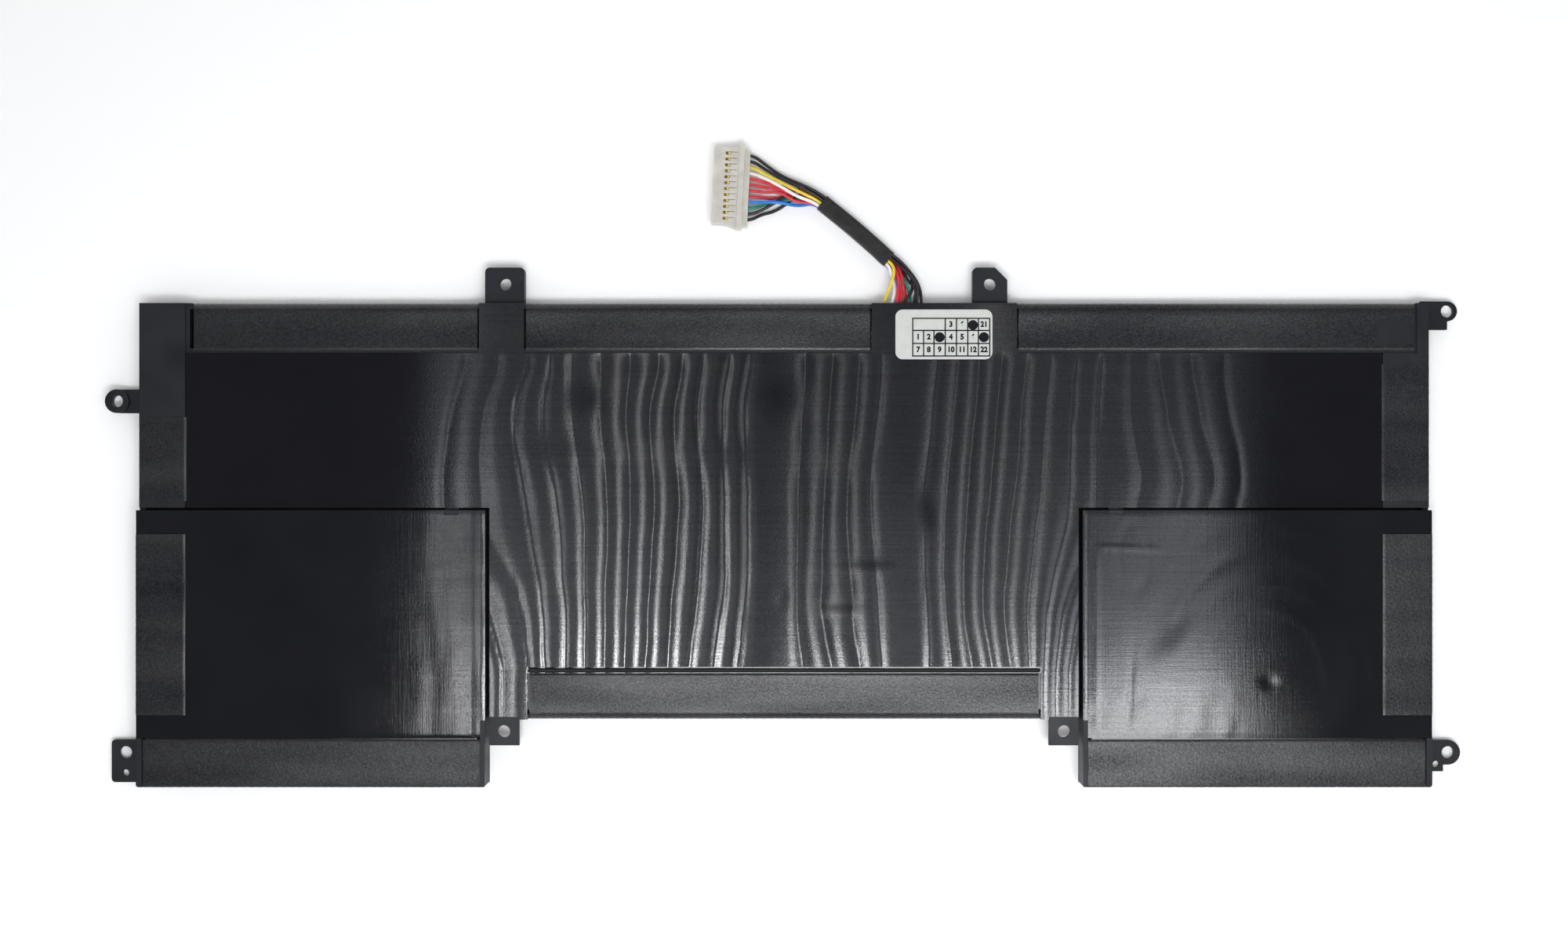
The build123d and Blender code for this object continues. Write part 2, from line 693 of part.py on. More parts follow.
# Sealant over the solder joints, which the wires run up to
with BuildPart() as joint_sealant:
    with BuildSketch(Plane.XY.offset(board_level)):
        sealant_top = strip_top - sealant_back
        span(lead_slot[0], lead_slot[1], sealant_top - sealant_depth, sealant_top)
    extrude(amount=sealant_height)
joint_sealant.part.label = "joint_sealant"
export_step(joint_sealant.part, "parts/joint_sealant.step")

# Wires of the lead, from the connector through the sleeve to the board, as points chosen by hand
wire_routes = {
    "wire_black_1": [
        (-8.07, 31.54, 1.7), (-6.37, 31.46, 1.7), (-3.72, 29.34, 1.82), (-0.27, 26.89, 1.92),
        (4.33, 25.01, 2.34), (7.72, 23.25, 2.22), (9.88, 21.48, 2.22), (13.4, 18.66, 2.22),
        (16.92, 15.7, 2.22), (20.14, 12.85, 2.22), (22.32, 10.79, 2.22), (24.73, 8.95, 2.4),
        (27.6, 5.55, 2.62), (28.75, 3, 2.86), (28.95, 0.35, 3.04), (28.92, -1.4, 3.13),
    ],
    "wire_black_2": [
        (-8.13, 30.3, 1.7), (-6.44, 30.21, 1.7), (-4.21, 28.63, 2.01), (-1.27, 26.78, 2.29),
        (3.57, 24.38, 3.28), (7.24, 22.69, 2.22), (9.4, 20.91, 2.22), (12.92, 18.1, 2.22),
        (16.43, 15.14, 2.22), (19.66, 12.29, 2.22), (21.84, 10.23, 2.22), (24.17, 8.31, 2.36),
        (26.9, 5.58, 3.32), (28.23, 3.23, 3.67), (27.96, 0.35, 3.37), (27.86, -1.4, 3.27),
    ],
    "wire_yellow": [
        (-8.19, 29.05, 1.7), (-6.5, 28.96, 1.7), (-4.21, 27.48, 2.09), (-1.4, 25.98, 2.47),
        (2.88, 23.72, 3.24), (6.75, 22.13, 2.22), (8.92, 20.35, 2.22), (12.44, 17.54, 2.22),
        (15.95, 14.58, 2.22), (19.17, 11.73, 2.22), (21.36, 9.67, 2.22), (23.27, 8, 2.35),
        (23.02, 5.43, 3.43), (22.01, 2.67, 3.18), (21.04, 0.35, 3.19), (20.96, -1.4, 3.2),
    ],
    "wire_white": [
        (-8.26, 27.8, 1.7), (-6.56, 27.72, 1.7), (-4.17, 26.6, 2.3), (-1.23, 25.08, 2.81),
        (2.76, 22.51, 3.44), (6.27, 21.57, 2.22), (8.43, 19.79, 2.22), (11.95, 16.98, 2.22),
        (15.47, 14.01, 2.22), (18.69, 11.17, 2.22), (20.88, 9.11, 2.22), (22.39, 7.68, 2.31),
        (23.11, 5.03, 2.23), (23.4, 2.67, 2.74), (22.77, 0.36, 3.11), (22.55, -1.37, 3.33),
    ],
    "wire_red_1": [
        (-8.32, 26.55, 1.7), (-6.62, 26.47, 1.7), (-4.49, 25.83, 1.73), (-1.35, 25.07, 2.03),
        (3.13, 23.86, 2.38), (7.24, 22.69, 1.48), (9.4, 20.91, 1.48), (12.92, 18.1, 1.48),
        (16.43, 15.14, 1.48), (19.66, 12.29, 1.48), (21.84, 10.23, 1.48), (24.12, 8.47, 1.46),
        (24.91, 5.33, 2.48), (25.25, 2.84, 2.75), (25.29, 0.27, 2.91), (25.22, -1.45, 3.22),
    ],
    "wire_red_2": [
        (-8.38, 25.3, 1.7), (-6.68, 25.22, 1.7), (-4.14, 24.7, 1.89), (-1.14, 24.28, 2.38),
        (2.71, 22.82, 2.31), (6.75, 22.13, 1.48), (8.92, 20.35, 1.48), (12.44, 17.54, 1.48),
        (15.95, 14.58, 1.48), (19.17, 11.73, 1.48), (21.36, 9.67, 1.48), (23.38, 7.97, 1.5),
        (24.22, 5.44, 2.9), (24.05, 2.89, 3.24), (23.8, 0.38, 3.42), (23.95, -1.39, 3.44),
    ],
    "wire_red_3": [
        (-8.44, 24.05, 1.7), (-6.74, 23.97, 1.7), (-4.14, 23.62, 2.14), (-0.71, 23.61, 2.74),
        (2.38, 21.47, 2.43), (6.27, 21.57, 1.48), (8.43, 19.79, 1.48), (11.95, 16.98, 1.48),
        (15.47, 14.01, 1.48), (18.69, 11.17, 1.48), (20.88, 9.11, 1.48), (22.92, 7.18, 1.48),
        (24.15, 4.89, 2.02), (24.49, 2.84, 2.52), (24.53, 0.49, 3.12), (24.48, -1.34, 2.87),
    ],
    "wire_red_4": [
        (-8.5, 22.8, 1.7), (-6.8, 22.72, 1.7), (-4.9, 22.52, 1.6), (-2.1, 22.5, 0.45),
        (2.73, 23.42, 1.24), (7.24, 22.69, 0.74), (9.4, 20.91, 0.74), (12.92, 18.1, 0.74),
        (16.43, 15.14, 0.74), (19.66, 12.29, 0.74), (21.84, 10.23, 0.74), (24.45, 7.95, 0.56),
        (25.44, 4.95, 0.73), (25.53, 2.69, 1.92), (25.98, 0.35, 2.53), (25.82, -1.4, 2.75),
    ],
    "wire_blue": [
        (-8.56, 21.56, 1.7), (-6.86, 21.47, 1.7), (-4.18, 21.5, 2.44), (-0.48, 21.4, 2.74),
        (2.9, 20.75, 1.22), (6.27, 21.57, 0.74), (8.43, 19.79, 0.74), (11.95, 16.98, 0.74),
        (15.47, 14.01, 0.74), (18.69, 11.17, 0.74), (20.88, 9.11, 0.74), (22.72, 7.33, 0.62),
        (24.09, 4.6, 1), (24.29, 2.3, 1.6), (23.7, 0.2, 2.6), (23.33, -1.31, 2.88),
    ],
    "wire_green": [
        (-8.62, 20.31, 1.7), (-6.92, 20.22, 1.7), (-5, 20.88, 0.8), (-1.91, 21.92, 0.76),
        (2.25, 22.37, 1.25), (6.75, 22.13, 0.74), (8.92, 20.35, 0.74), (12.44, 17.54, 0.74),
        (15.95, 14.58, 0.74), (19.17, 11.73, 0.74), (21.36, 9.67, 0.74), (23.66, 7.55, 0.67),
        (25.73, 4.56, 2.12), (26.66, 2.04, 1.83), (26.68, 0.33, 2.57), (26.61, -1.42, 2.74),
    ],
    "wire_black_3": [
        (-8.68, 19.06, 1.7), (-6.98, 18.98, 1.7), (-4.82, 19.82, 1.73), (-1.95, 21.35, 1.95),
        (3.57, 25.02, 1.36), (7.72, 23.25, 1.48), (9.88, 21.48, 1.48), (13.4, 18.66, 1.48),
        (16.92, 15.7, 1.48), (20.14, 12.85, 1.48), (22.32, 10.79, 1.48), (25.55, 8.43, 1.63),
        (27.32, 4.97, 1.54), (26.91, 2.24, 2.7), (25.08, 0.43, 3.94), (24.59, -1.37, 3.96),
    ],
    "wire_black_4": [
        (-8.74, 17.81, 1.7), (-7.05, 17.73, 1.7), (-4.8, 19.1, 1.02), (-1.52, 19.87, 0.46),
        (4.04, 24.11, 0.36), (7.72, 23.25, 0.74), (9.88, 21.48, 0.74), (13.4, 18.66, 0.74),
        (16.92, 15.7, 0.74), (20.14, 12.85, 0.74), (22.32, 10.79, 0.74), (24.66, 8.92, 0.6),
        (25.92, 4.93, 2.62), (28, 3.14, 3.02), (27.35, 0.35, 2.64), (27.42, -1.4, 2.64),
    ],
}
for wire_name, points in wire_routes.items():
    wire_path = soft_route(points)
    with BuildPart() as lead_wire:
        with BuildSketch(Plane(origin=wire_path @ 0, z_dir=wire_path % 0)):
            Circle(wire / 2)
        sweep(path=wire_path)
    lead_wire.part.label = wire_name
    export_step(lead_wire.part, f"parts/{wire_name}.step")

# Shrink sleeve around the bundle of four by three wires
sleeve_route = [
    (8.08, 21.52, 1.48), (9.16, 20.63, 1.48), (12.68, 17.82, 1.48), (16.2, 14.86, 1.48),
    (19.42, 12.01, 1.48), (21.61, 9.96, 1.48), (22.25, 9.46, 1.48),
]
sleeve_path = soft_route(sleeve_route)
with BuildPart() as lead_sleeve:
    mouth = Plane(origin=sleeve_path @ 0, x_dir=(0, 0, 1), z_dir=sleeve_path % 0)
    with BuildSketch(mouth):
        inner_tall = 2 * wire_pitch + wire + 2 * sleeve_clearance
        inner_wide = 3 * wire_pitch + wire + 2 * sleeve_clearance
        outer_tall = inner_tall + 2 * sleeve_wall
        outer_wide = inner_wide + 2 * sleeve_wall
        RectangleRounded(outer_tall, outer_wide, sleeve_corner + sleeve_wall)
        RectangleRounded(inner_tall, inner_wide, sleeve_corner, mode=Mode.SUBTRACT)
    sweep(path=sleeve_path)
lead_sleeve.part.label = "lead_sleeve"
export_step(lead_sleeve.part, "parts/lead_sleeve.step")

# Connector housing: u runs from the mating face to the wires, v along the row of contacts
turn = radians(connector_turn)
connector_plane = Plane(
    origin=(connector_x, top_edge + connector_rise, 0), x_dir=(cos(turn), sin(turn), 0), z_dir=(0, 0, 1)
)
half_row = housing_length / 2
half_flange = flange_length / 2
half_hood = hood_length / 2
row = [(contact_count - 1) / 2 * contact_pitch - i * contact_pitch for i in range(contact_count)]
with BuildPart() as connector_housing:
    with BuildSketch(connector_plane):
        span(0, housing_reach, -half_row, half_row)
        with BuildLine():
            flare = ThreePointArc(
                (housing_reach - flange_thick - gusset_reach, -half_row),
                (housing_reach - flange_thick - gusset_reach / 3, tooth / 3 - half_row - tooth),
                (housing_reach - flange_thick, -half_flange),
            )
            Polyline(flare @ 1, (housing_reach - flange_thick, -half_row), flare @ 0)
        make_face()
        with BuildLine():
            Polyline(
                (housing_reach - flange_thick, half_row),
                (housing_reach - flange_thick, half_row + tooth / 2),
                (housing_reach - flange_thick - tooth / 2, half_row + tooth),
                (housing_reach - flange_thick - tooth, half_row),
                close=True,
            )
        make_face()
    extrude(amount=housing_height)
    with BuildSketch(connector_plane):
        span(housing_reach - flange_thick, housing_reach, -half_flange, half_flange)
    extrude(amount=housing_height + flange_rise)
    with BuildSketch(connector_plane.offset(hood_drop)):
        with BuildLine():
            Polyline(
                (housing_reach, -half_hood),
                (housing_reach + hood_reach, -half_hood),
                (housing_reach + hood_reach, half_hood - hood_slant),
                (housing_reach, half_hood),
                close=True,
            )
        make_face()
    extrude(amount=housing_height - 2 * hood_drop)
    with BuildSketch(connector_plane.offset(contact_level - cavity / 2)):
        for v in row:
            span(-cover_gap, housing_reach + hood_reach + cover_gap, v - cavity / 2, v + cavity / 2)
    extrude(amount=cavity, mode=Mode.SUBTRACT)
    with BuildSketch(connector_plane.offset(contact_level)):
        for v in row:
            span(window[0], window[1], v - window_width / 2, v + window_width / 2)
    extrude(amount=housing_height, mode=Mode.SUBTRACT)
    with BuildSketch(connector_plane.offset(housing_height - slit_depth)):
        for v in row:
            slit_v = v + slit_offset
            span(window[1], window[1] + slit_reach, slit_v - slit_width / 2, slit_v + slit_width / 2)
    extrude(amount=slit_depth, mode=Mode.SUBTRACT)
connector_housing.part.label = "connector_housing"
export_step(connector_housing.part, "parts/connector_housing.step")

# Gold contacts: a box, a crimp up to the wire and a lance that shows in the window
with BuildPart() as connector_contacts:
    with BuildSketch(connector_plane.offset(contact_level - contact_box / 2)):
        for v in row:
            span(contact_span[0], contact_span[1], v - contact_box / 2, v + contact_box / 2)
    extrude(amount=contact_box)
    with BuildSketch(connector_plane.offset(contact_level - crimp / 2)):
        for v in row:
            span(contact_span[1], crimp_end, v - crimp / 2, v + crimp / 2)
    extrude(amount=crimp)
    lance_plane = Plane(
        origin=connector_plane.origin, x_dir=connector_plane.x_dir, z_dir=-connector_plane.y_dir
    )
    for v in row:
        with BuildSketch(lance_plane.offset(-v)):
            with BuildLine():
                Polyline(
                    (window[0] + lance_gap, contact_level),
                    (window[1] - lance_gap, contact_level),
                    (window[1] - lance_gap, housing_height - lance_gap),
                    (window[1] - lance_width, housing_height - lance_gap),
                    close=True,
                )
            make_face()
        extrude(amount=lance_width / 2, both=True)
connector_contacts.part.label = "connector_contacts"
export_step(connector_contacts.part, "parts/connector_contacts.step")
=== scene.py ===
import math
from bisect import bisect

import bmesh
import bpy
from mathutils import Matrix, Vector, noise


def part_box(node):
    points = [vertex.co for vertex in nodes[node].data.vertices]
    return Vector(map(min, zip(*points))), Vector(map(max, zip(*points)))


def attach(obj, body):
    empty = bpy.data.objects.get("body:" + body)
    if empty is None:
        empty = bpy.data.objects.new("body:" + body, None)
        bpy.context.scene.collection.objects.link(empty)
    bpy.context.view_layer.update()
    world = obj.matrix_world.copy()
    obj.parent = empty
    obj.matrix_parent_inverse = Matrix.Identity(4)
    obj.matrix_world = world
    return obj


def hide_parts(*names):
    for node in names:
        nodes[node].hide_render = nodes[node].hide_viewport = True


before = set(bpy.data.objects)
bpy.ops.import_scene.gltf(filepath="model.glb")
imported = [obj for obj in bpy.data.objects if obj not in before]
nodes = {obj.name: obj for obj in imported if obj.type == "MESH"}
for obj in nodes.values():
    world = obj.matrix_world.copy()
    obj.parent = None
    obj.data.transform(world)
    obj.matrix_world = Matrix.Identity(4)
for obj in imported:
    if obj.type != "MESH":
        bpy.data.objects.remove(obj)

MM = 0.001
CAMERA_Y = 11.8
CAMERA_HEIGHT = 350.0
SENSOR_WIDTH = 36.0
FOCAL_PIXELS = 2101
PICTURE_WIDTH, PICTURE_HEIGHT = 2000, 1200
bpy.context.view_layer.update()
scene = bpy.context.scene
scene.view_settings.view_transform = "Standard"


def link(obj):
    scene.collection.objects.link(obj)
    return obj


# Camera: straight above the pack, a phone's distance away
camera_data = bpy.data.cameras.new("camera")
camera_data.sensor_fit = "HORIZONTAL"
camera_data.sensor_width = SENSOR_WIDTH
camera_data.lens = SENSOR_WIDTH * FOCAL_PIXELS / PICTURE_WIDTH
camera_data.clip_start = 0.01
camera = link(bpy.data.objects.new("camera", camera_data))
camera.location = (0.0, CAMERA_Y * MM, CAMERA_HEIGHT * MM)
scene.camera = camera


# Node materials
DULL_SHARE = 0.55
LEG_TOP = 6.0


def coords(tree, stretch):
    """Object coordinates in metres, stretched for grain that runs one way."""
    place = tree.nodes.new("ShaderNodeTexCoord")
    mapping = tree.nodes.new("ShaderNodeMapping")
    mapping.inputs["Scale"].default_value = stretch
    tree.links.new(place.outputs["Object"], mapping.inputs["Vector"])
    return mapping.outputs["Vector"]


def noise_node(tree, scale, detail=3.0, stretch=(1, 1, 1)):
    """Noise over the object, with its scale in cells a metre."""
    tex = tree.nodes.new("ShaderNodeTexNoise")
    tex.inputs["Scale"].default_value = scale
    tex.inputs["Detail"].default_value = detail
    tex.inputs["Roughness"].default_value = 0.55
    tree.links.new(coords(tree, stretch), tex.inputs["Vector"])
    return tex.outputs["Fac"]


def ramp(tree, factor, stops):
    """Colour along a factor, by stops of (place, colour)."""
    node = tree.nodes.new("ShaderNodeValToRGB")
    while len(node.color_ramp.elements) < len(stops):
        node.color_ramp.elements.new(0.5)
    for element, (at, colour) in zip(node.color_ramp.elements, stops):
        element.position = at
        element.color = (*colour, 1.0)
    tree.links.new(factor, node.inputs["Fac"])
    return node.outputs["Color"]


def spread(tree, factor, low, high):
    """Stretches the middle of a noise to the span from low to high."""
    node = tree.nodes.new("ShaderNodeMapRange")
    node.inputs["From Min"].default_value = 0.3
    node.inputs["From Max"].default_value = 0.7
    node.inputs["To Min"].default_value = low
    node.inputs["To Max"].default_value = high
    tree.links.new(factor, node.inputs["Value"])
    return node.outputs["Result"]


def bumps(tree, layers):
    """Stacks bump layers, each (height, strength, distance in metres)."""
    normal = None
    for height, strength, distance in layers:
        node = tree.nodes.new("ShaderNodeBump")
        node.inputs["Strength"].default_value = strength
        node.inputs["Distance"].default_value = distance
        tree.links.new(height, node.inputs["Height"])
        if normal is not None:
            tree.links.new(normal, node.inputs["Normal"])
        normal = node.outputs["Normal"]
    return normal


def math_node(tree, operation, a, b):
    """Joins two values, each a number or a socket."""
    node = tree.nodes.new("ShaderNodeMath")
    node.operation = operation
    for socket, value in zip(node.inputs, (a, b)):
        if isinstance(value, float):
            socket.default_value = value
        else:
            tree.links.new(value, socket)
    return node.outputs[0]


def dull_mask(tree, spots):
    """One inside soft ellipses with a ragged rim, each (x, y, half width, half height, turn), millimetres."""
    total = None
    for x, y, wide, tall, turn in spots:
        place = tree.nodes.new("ShaderNodeTexCoord")
        mapping = tree.nodes.new("ShaderNodeMapping")
        mapping.vector_type = "TEXTURE"
        mapping.inputs["Location"].default_value = (x * MM, y * MM, LEG_TOP * MM)
        mapping.inputs["Rotation"].default_value = (0, 0, turn)
        mapping.inputs["Scale"].default_value = (wide * MM, tall * MM, 1)
        tree.links.new(place.outputs["Object"], mapping.inputs["Vector"])
        length = tree.nodes.new("ShaderNodeVectorMath")
        length.operation = "LENGTH"
        tree.links.new(mapping.outputs["Vector"], length.inputs[0])
        rim_noise = math_node(tree, "MULTIPLY", noise_node(tree, 260), 0.5)
        ragged = math_node(tree, "ADD", length.outputs["Value"], rim_noise)
        edge = tree.nodes.new("ShaderNodeMapRange")
        edge.interpolation_type = "SMOOTHSTEP"
        edge.inputs["From Min"].default_value = 0.35
        edge.inputs["From Max"].default_value = 1.75
        edge.inputs["To Min"].default_value = 1.0
        edge.inputs["To Max"].default_value = 0.0
        tree.links.new(ragged, edge.inputs["Value"])
        inside = edge.outputs["Result"]
        total = inside if total is None else math_node(tree, "MAXIMUM", total, inside)
    return total


def material(name, tones, tone_scale, rough, grain, metallic=0.0, specular=0.5,
             sheen=None, dull=None, **sockets):
    """Principled material: patchy tone and roughness, stacked grain of (scale, stretch, strength, distance).

    sheen is (low, high, layers of (scale, stretch)) and makes the reflection itself grainy.
    dull lists the spots where that reflection is weak."""
    mat = bpy.data.materials.new(name)
    mat.use_nodes = True
    tree = mat.node_tree
    shader = tree.nodes["Principled BSDF"]
    shader.inputs["Metallic"].default_value = metallic
    shader.inputs["Specular IOR Level"].default_value = specular
    for socket, value in sockets.items():
        shader.inputs[socket.replace("_", " ")].default_value = value
    patch = noise_node(tree, tone_scale)
    colour = ramp(tree, patch, [(0.3, tones[0]), (0.7, tones[1])])
    if sheen:
        low, high, layers = sheen
        sparkle = noise_node(tree, layers[0][0], stretch=layers[0][1])
        for scale, stretch in layers[1:]:
            sparkle = math_node(tree, "ADD", sparkle, noise_node(tree, scale, detail=1.0, stretch=stretch))
        sparkle = math_node(tree, "DIVIDE", sparkle, float(len(layers)))
        shine = spread(tree, sparkle, low, high)
        if dull:
            faded = math_node(tree, "MULTIPLY", dull_mask(tree, dull), DULL_SHARE)
            keep = math_node(tree, "SUBTRACT", 1.0, faded)
            shine = math_node(tree, "MULTIPLY", shine, keep)
        tree.links.new(shine, shader.inputs["Specular IOR Level"])
    tree.links.new(colour, shader.inputs["Base Color"])
    tree.links.new(spread(tree, patch, rough[0], rough[1]), shader.inputs["Roughness"])
    grain_layers = [(noise_node(tree, scale, stretch=stretch), strength, distance)
                    for scale, stretch, strength, distance in grain]
    tree.links.new(bumps(tree, grain_layers), shader.inputs["Normal"])
    return mat


EVEN = (1, 1, 1)
HAIR = (0.06, 4, 1)
ALONG_X = (0.12, 4, 1)
ALONG_Y = (4, 0.12, 1)
film_sparkle = [(700, HAIR), (3800, EVEN), (3000, EVEN)]
tape_sparkle = [(2600, EVEN), (75, (0.3, 1.7, 1))]
film_mat = material("film_gloss", ((0.0056, 0.0058, 0.0082), (0.0070, 0.0072, 0.0098)), 60, (0.05, 0.09),
                    [(900, ALONG_X, 0.30, 0.00002), (3000, EVEN, 0.20, 0.00003)],
                    sheen=(0.30, 0.70, film_sparkle),
                    dull=[(-40.7, 27.2, 4.4, 4.4, 0.0), (-1.0, 26.8, 4.6, 5.4, 0.0),
                          (30.4, 2.6, 1.8, 4.4, 0.15), (12.0, -17.0, 5.4, 1.2, 0.0),
                          (17.5, -8.0, 6.0, 1.3, 0.0)])
leg_mat = material("film_leg", ((0.0064, 0.0068, 0.0088), (0.0086, 0.0090, 0.0114)), 70, (0.06, 0.10),
                   [(800, ALONG_X, 0.35, 0.00002), (800, ALONG_Y, 0.30, 0.00002),
                    (3200, EVEN, 0.22, 0.00003)],
                   sheen=(0.33, 0.67, film_sparkle), dull=[(80.9, -22.9, 2.8, 6.4, -0.76)])
frame_mat = material("frame_moulding", ((0.0070, 0.0078, 0.0112), (0.0108, 0.0120, 0.0168)), 120,
                     (0.42, 0.58), [(2600, EVEN, 0.18, 0.00002), (600, (0.2, 3, 1), 0.08, 0.00002)],
                     specular=0.3)
tape_mat = material("tape_matte", ((0.0090, 0.0094, 0.0116), (0.0174, 0.0180, 0.0210)), 1700, (0.29, 0.37),
                    [(2200, EVEN, 0.8, 0.00006), (6000, EVEN, 0.6, 0.00002)],
                    sheen=(0.03, 0.78, tape_sparkle))
# Painted highlight: the tapes' cut edges get a lighter, patchy colour that stands in for the light their rims
# catch.
painted_highlight_mat = material("tape_edge_painted_highlight", ((0.010, 0.010, 0.011), (0.058, 0.058, 0.060)), 110, (0.5, 0.65),
                         [(6000, EVEN, 0.3, 0.00001)])
base_mat = material("base_film", ((0.0045, 0.0045, 0.005), (0.008, 0.008, 0.009)), 90, (0.3, 0.42),
                    [(700, EVEN, 0.08, 0.00003), (4200, EVEN, 0.15, 0.00001)], specular=0.35)
paper_mat = material("label_paper", ((0.515, 0.528, 0.505), (0.565, 0.575, 0.55)), 700, (0.45, 0.6),
                     [(4000, EVEN, 0.10, 0.00001)])
ink_mat = material("label_ink", ((0.004, 0.004, 0.006), (0.010, 0.010, 0.013)), 3000, (0.5, 0.65),
                   [(8000, EVEN, 0.15, 0.00001)], specular=0.12)
wrap_mat = material("cell_wrap", ((0.0055, 0.0057, 0.0064), (0.0080, 0.0082, 0.0090)), 90, (0.12, 0.2),
                    [(500, EVEN, 0.2, 0.00005), (3000, EVEN, 0.5, 0.00003)])
nickel_mat = material("tab_nickel", ((0.56, 0.54, 0.50), (0.68, 0.66, 0.62)), 800, (0.22, 0.38),
                      [(2500, (0.2, 2, 1), 0.15, 0.00001)], metallic=1.0)
alloy_mat = material("tab_aluminium", ((0.70, 0.71, 0.73), (0.80, 0.81, 0.83)), 800, (0.25, 0.4),
                     [(2500, (0.2, 2, 1), 0.15, 0.00001)], metallic=1.0)
board_mat = material("board_laminate", ((0.003, 0.012, 0.006), (0.006, 0.022, 0.011)), 900, (0.25, 0.4),
                     [(3000, EVEN, 0.1, 0.00001)])
chip_mat = material("chip_epoxy", ((0.014, 0.014, 0.014), (0.028, 0.028, 0.028)), 2500, (0.45, 0.6),
                    [(6000, EVEN, 0.2, 0.00001)])
shunt_mat = material("shunt_alloy", ((0.42, 0.40, 0.37), (0.55, 0.53, 0.50)), 1500, (0.3, 0.45),
                     [(3000, (0.2, 2, 1), 0.15, 0.00001)], metallic=1.0)
sealant_mat = material("sealant", ((0.72, 0.72, 0.69), (0.86, 0.86, 0.83)), 600, (0.35, 0.5),
                       [(900, EVEN, 0.3, 0.00005)])
adhesive_mat = material("adhesive", ((0.62, 0.61, 0.56), (0.78, 0.77, 0.72)), 400, (0.4, 0.55),
                        [(1500, EVEN, 0.2, 0.00002)])
sleeve_mat = material("sleeve_shrink", ((0.0055, 0.0050, 0.0050), (0.0125, 0.0115, 0.0115)), 500,
                      (0.42, 0.58), [(420, EVEN, 0.6, 0.00025), (1500, EVEN, 0.35, 0.00004),
                                     (6000, EVEN, 0.3, 0.00001)], specular=0.4)
nylon_mat = material("nylon_housing", ((0.50, 0.485, 0.44), (0.60, 0.58, 0.53)), 500, (0.3, 0.42),
                     [(2500, EVEN, 0.12, 0.00002)], Subsurface_Weight=0.5, Subsurface_Scale=0.0012,
                     Subsurface_Radius=(1.0, 1.0, 0.95))
gold_mat = material("contact_gold", ((0.78, 0.52, 0.14), (0.92, 0.66, 0.24)), 1800, (0.35, 0.5),
                    [(3000, EVEN, 0.12, 0.00001)], metallic=0.5)


def insulation(name, low, high):
    return material(name, (low, high), 900, (0.28, 0.42), [(2500, EVEN, 0.12, 0.00001)])


wire_mats = {
    "black": insulation("wire_black", (0.006, 0.005, 0.007), (0.014, 0.012, 0.016)),
    "red": insulation("wire_red", (0.55, 0.018, 0.032), (0.68, 0.035, 0.06)),
    "yellow": insulation("wire_yellow", (0.68, 0.52, 0.02), (0.80, 0.64, 0.06)),
    "white": insulation("wire_white", (0.78, 0.76, 0.72), (0.88, 0.86, 0.82)),
    "blue": insulation("wire_blue", (0.006, 0.14, 0.62), (0.012, 0.22, 0.78)),
    "green": insulation("wire_green", (0.012, 0.20, 0.14), (0.03, 0.30, 0.22)),
}


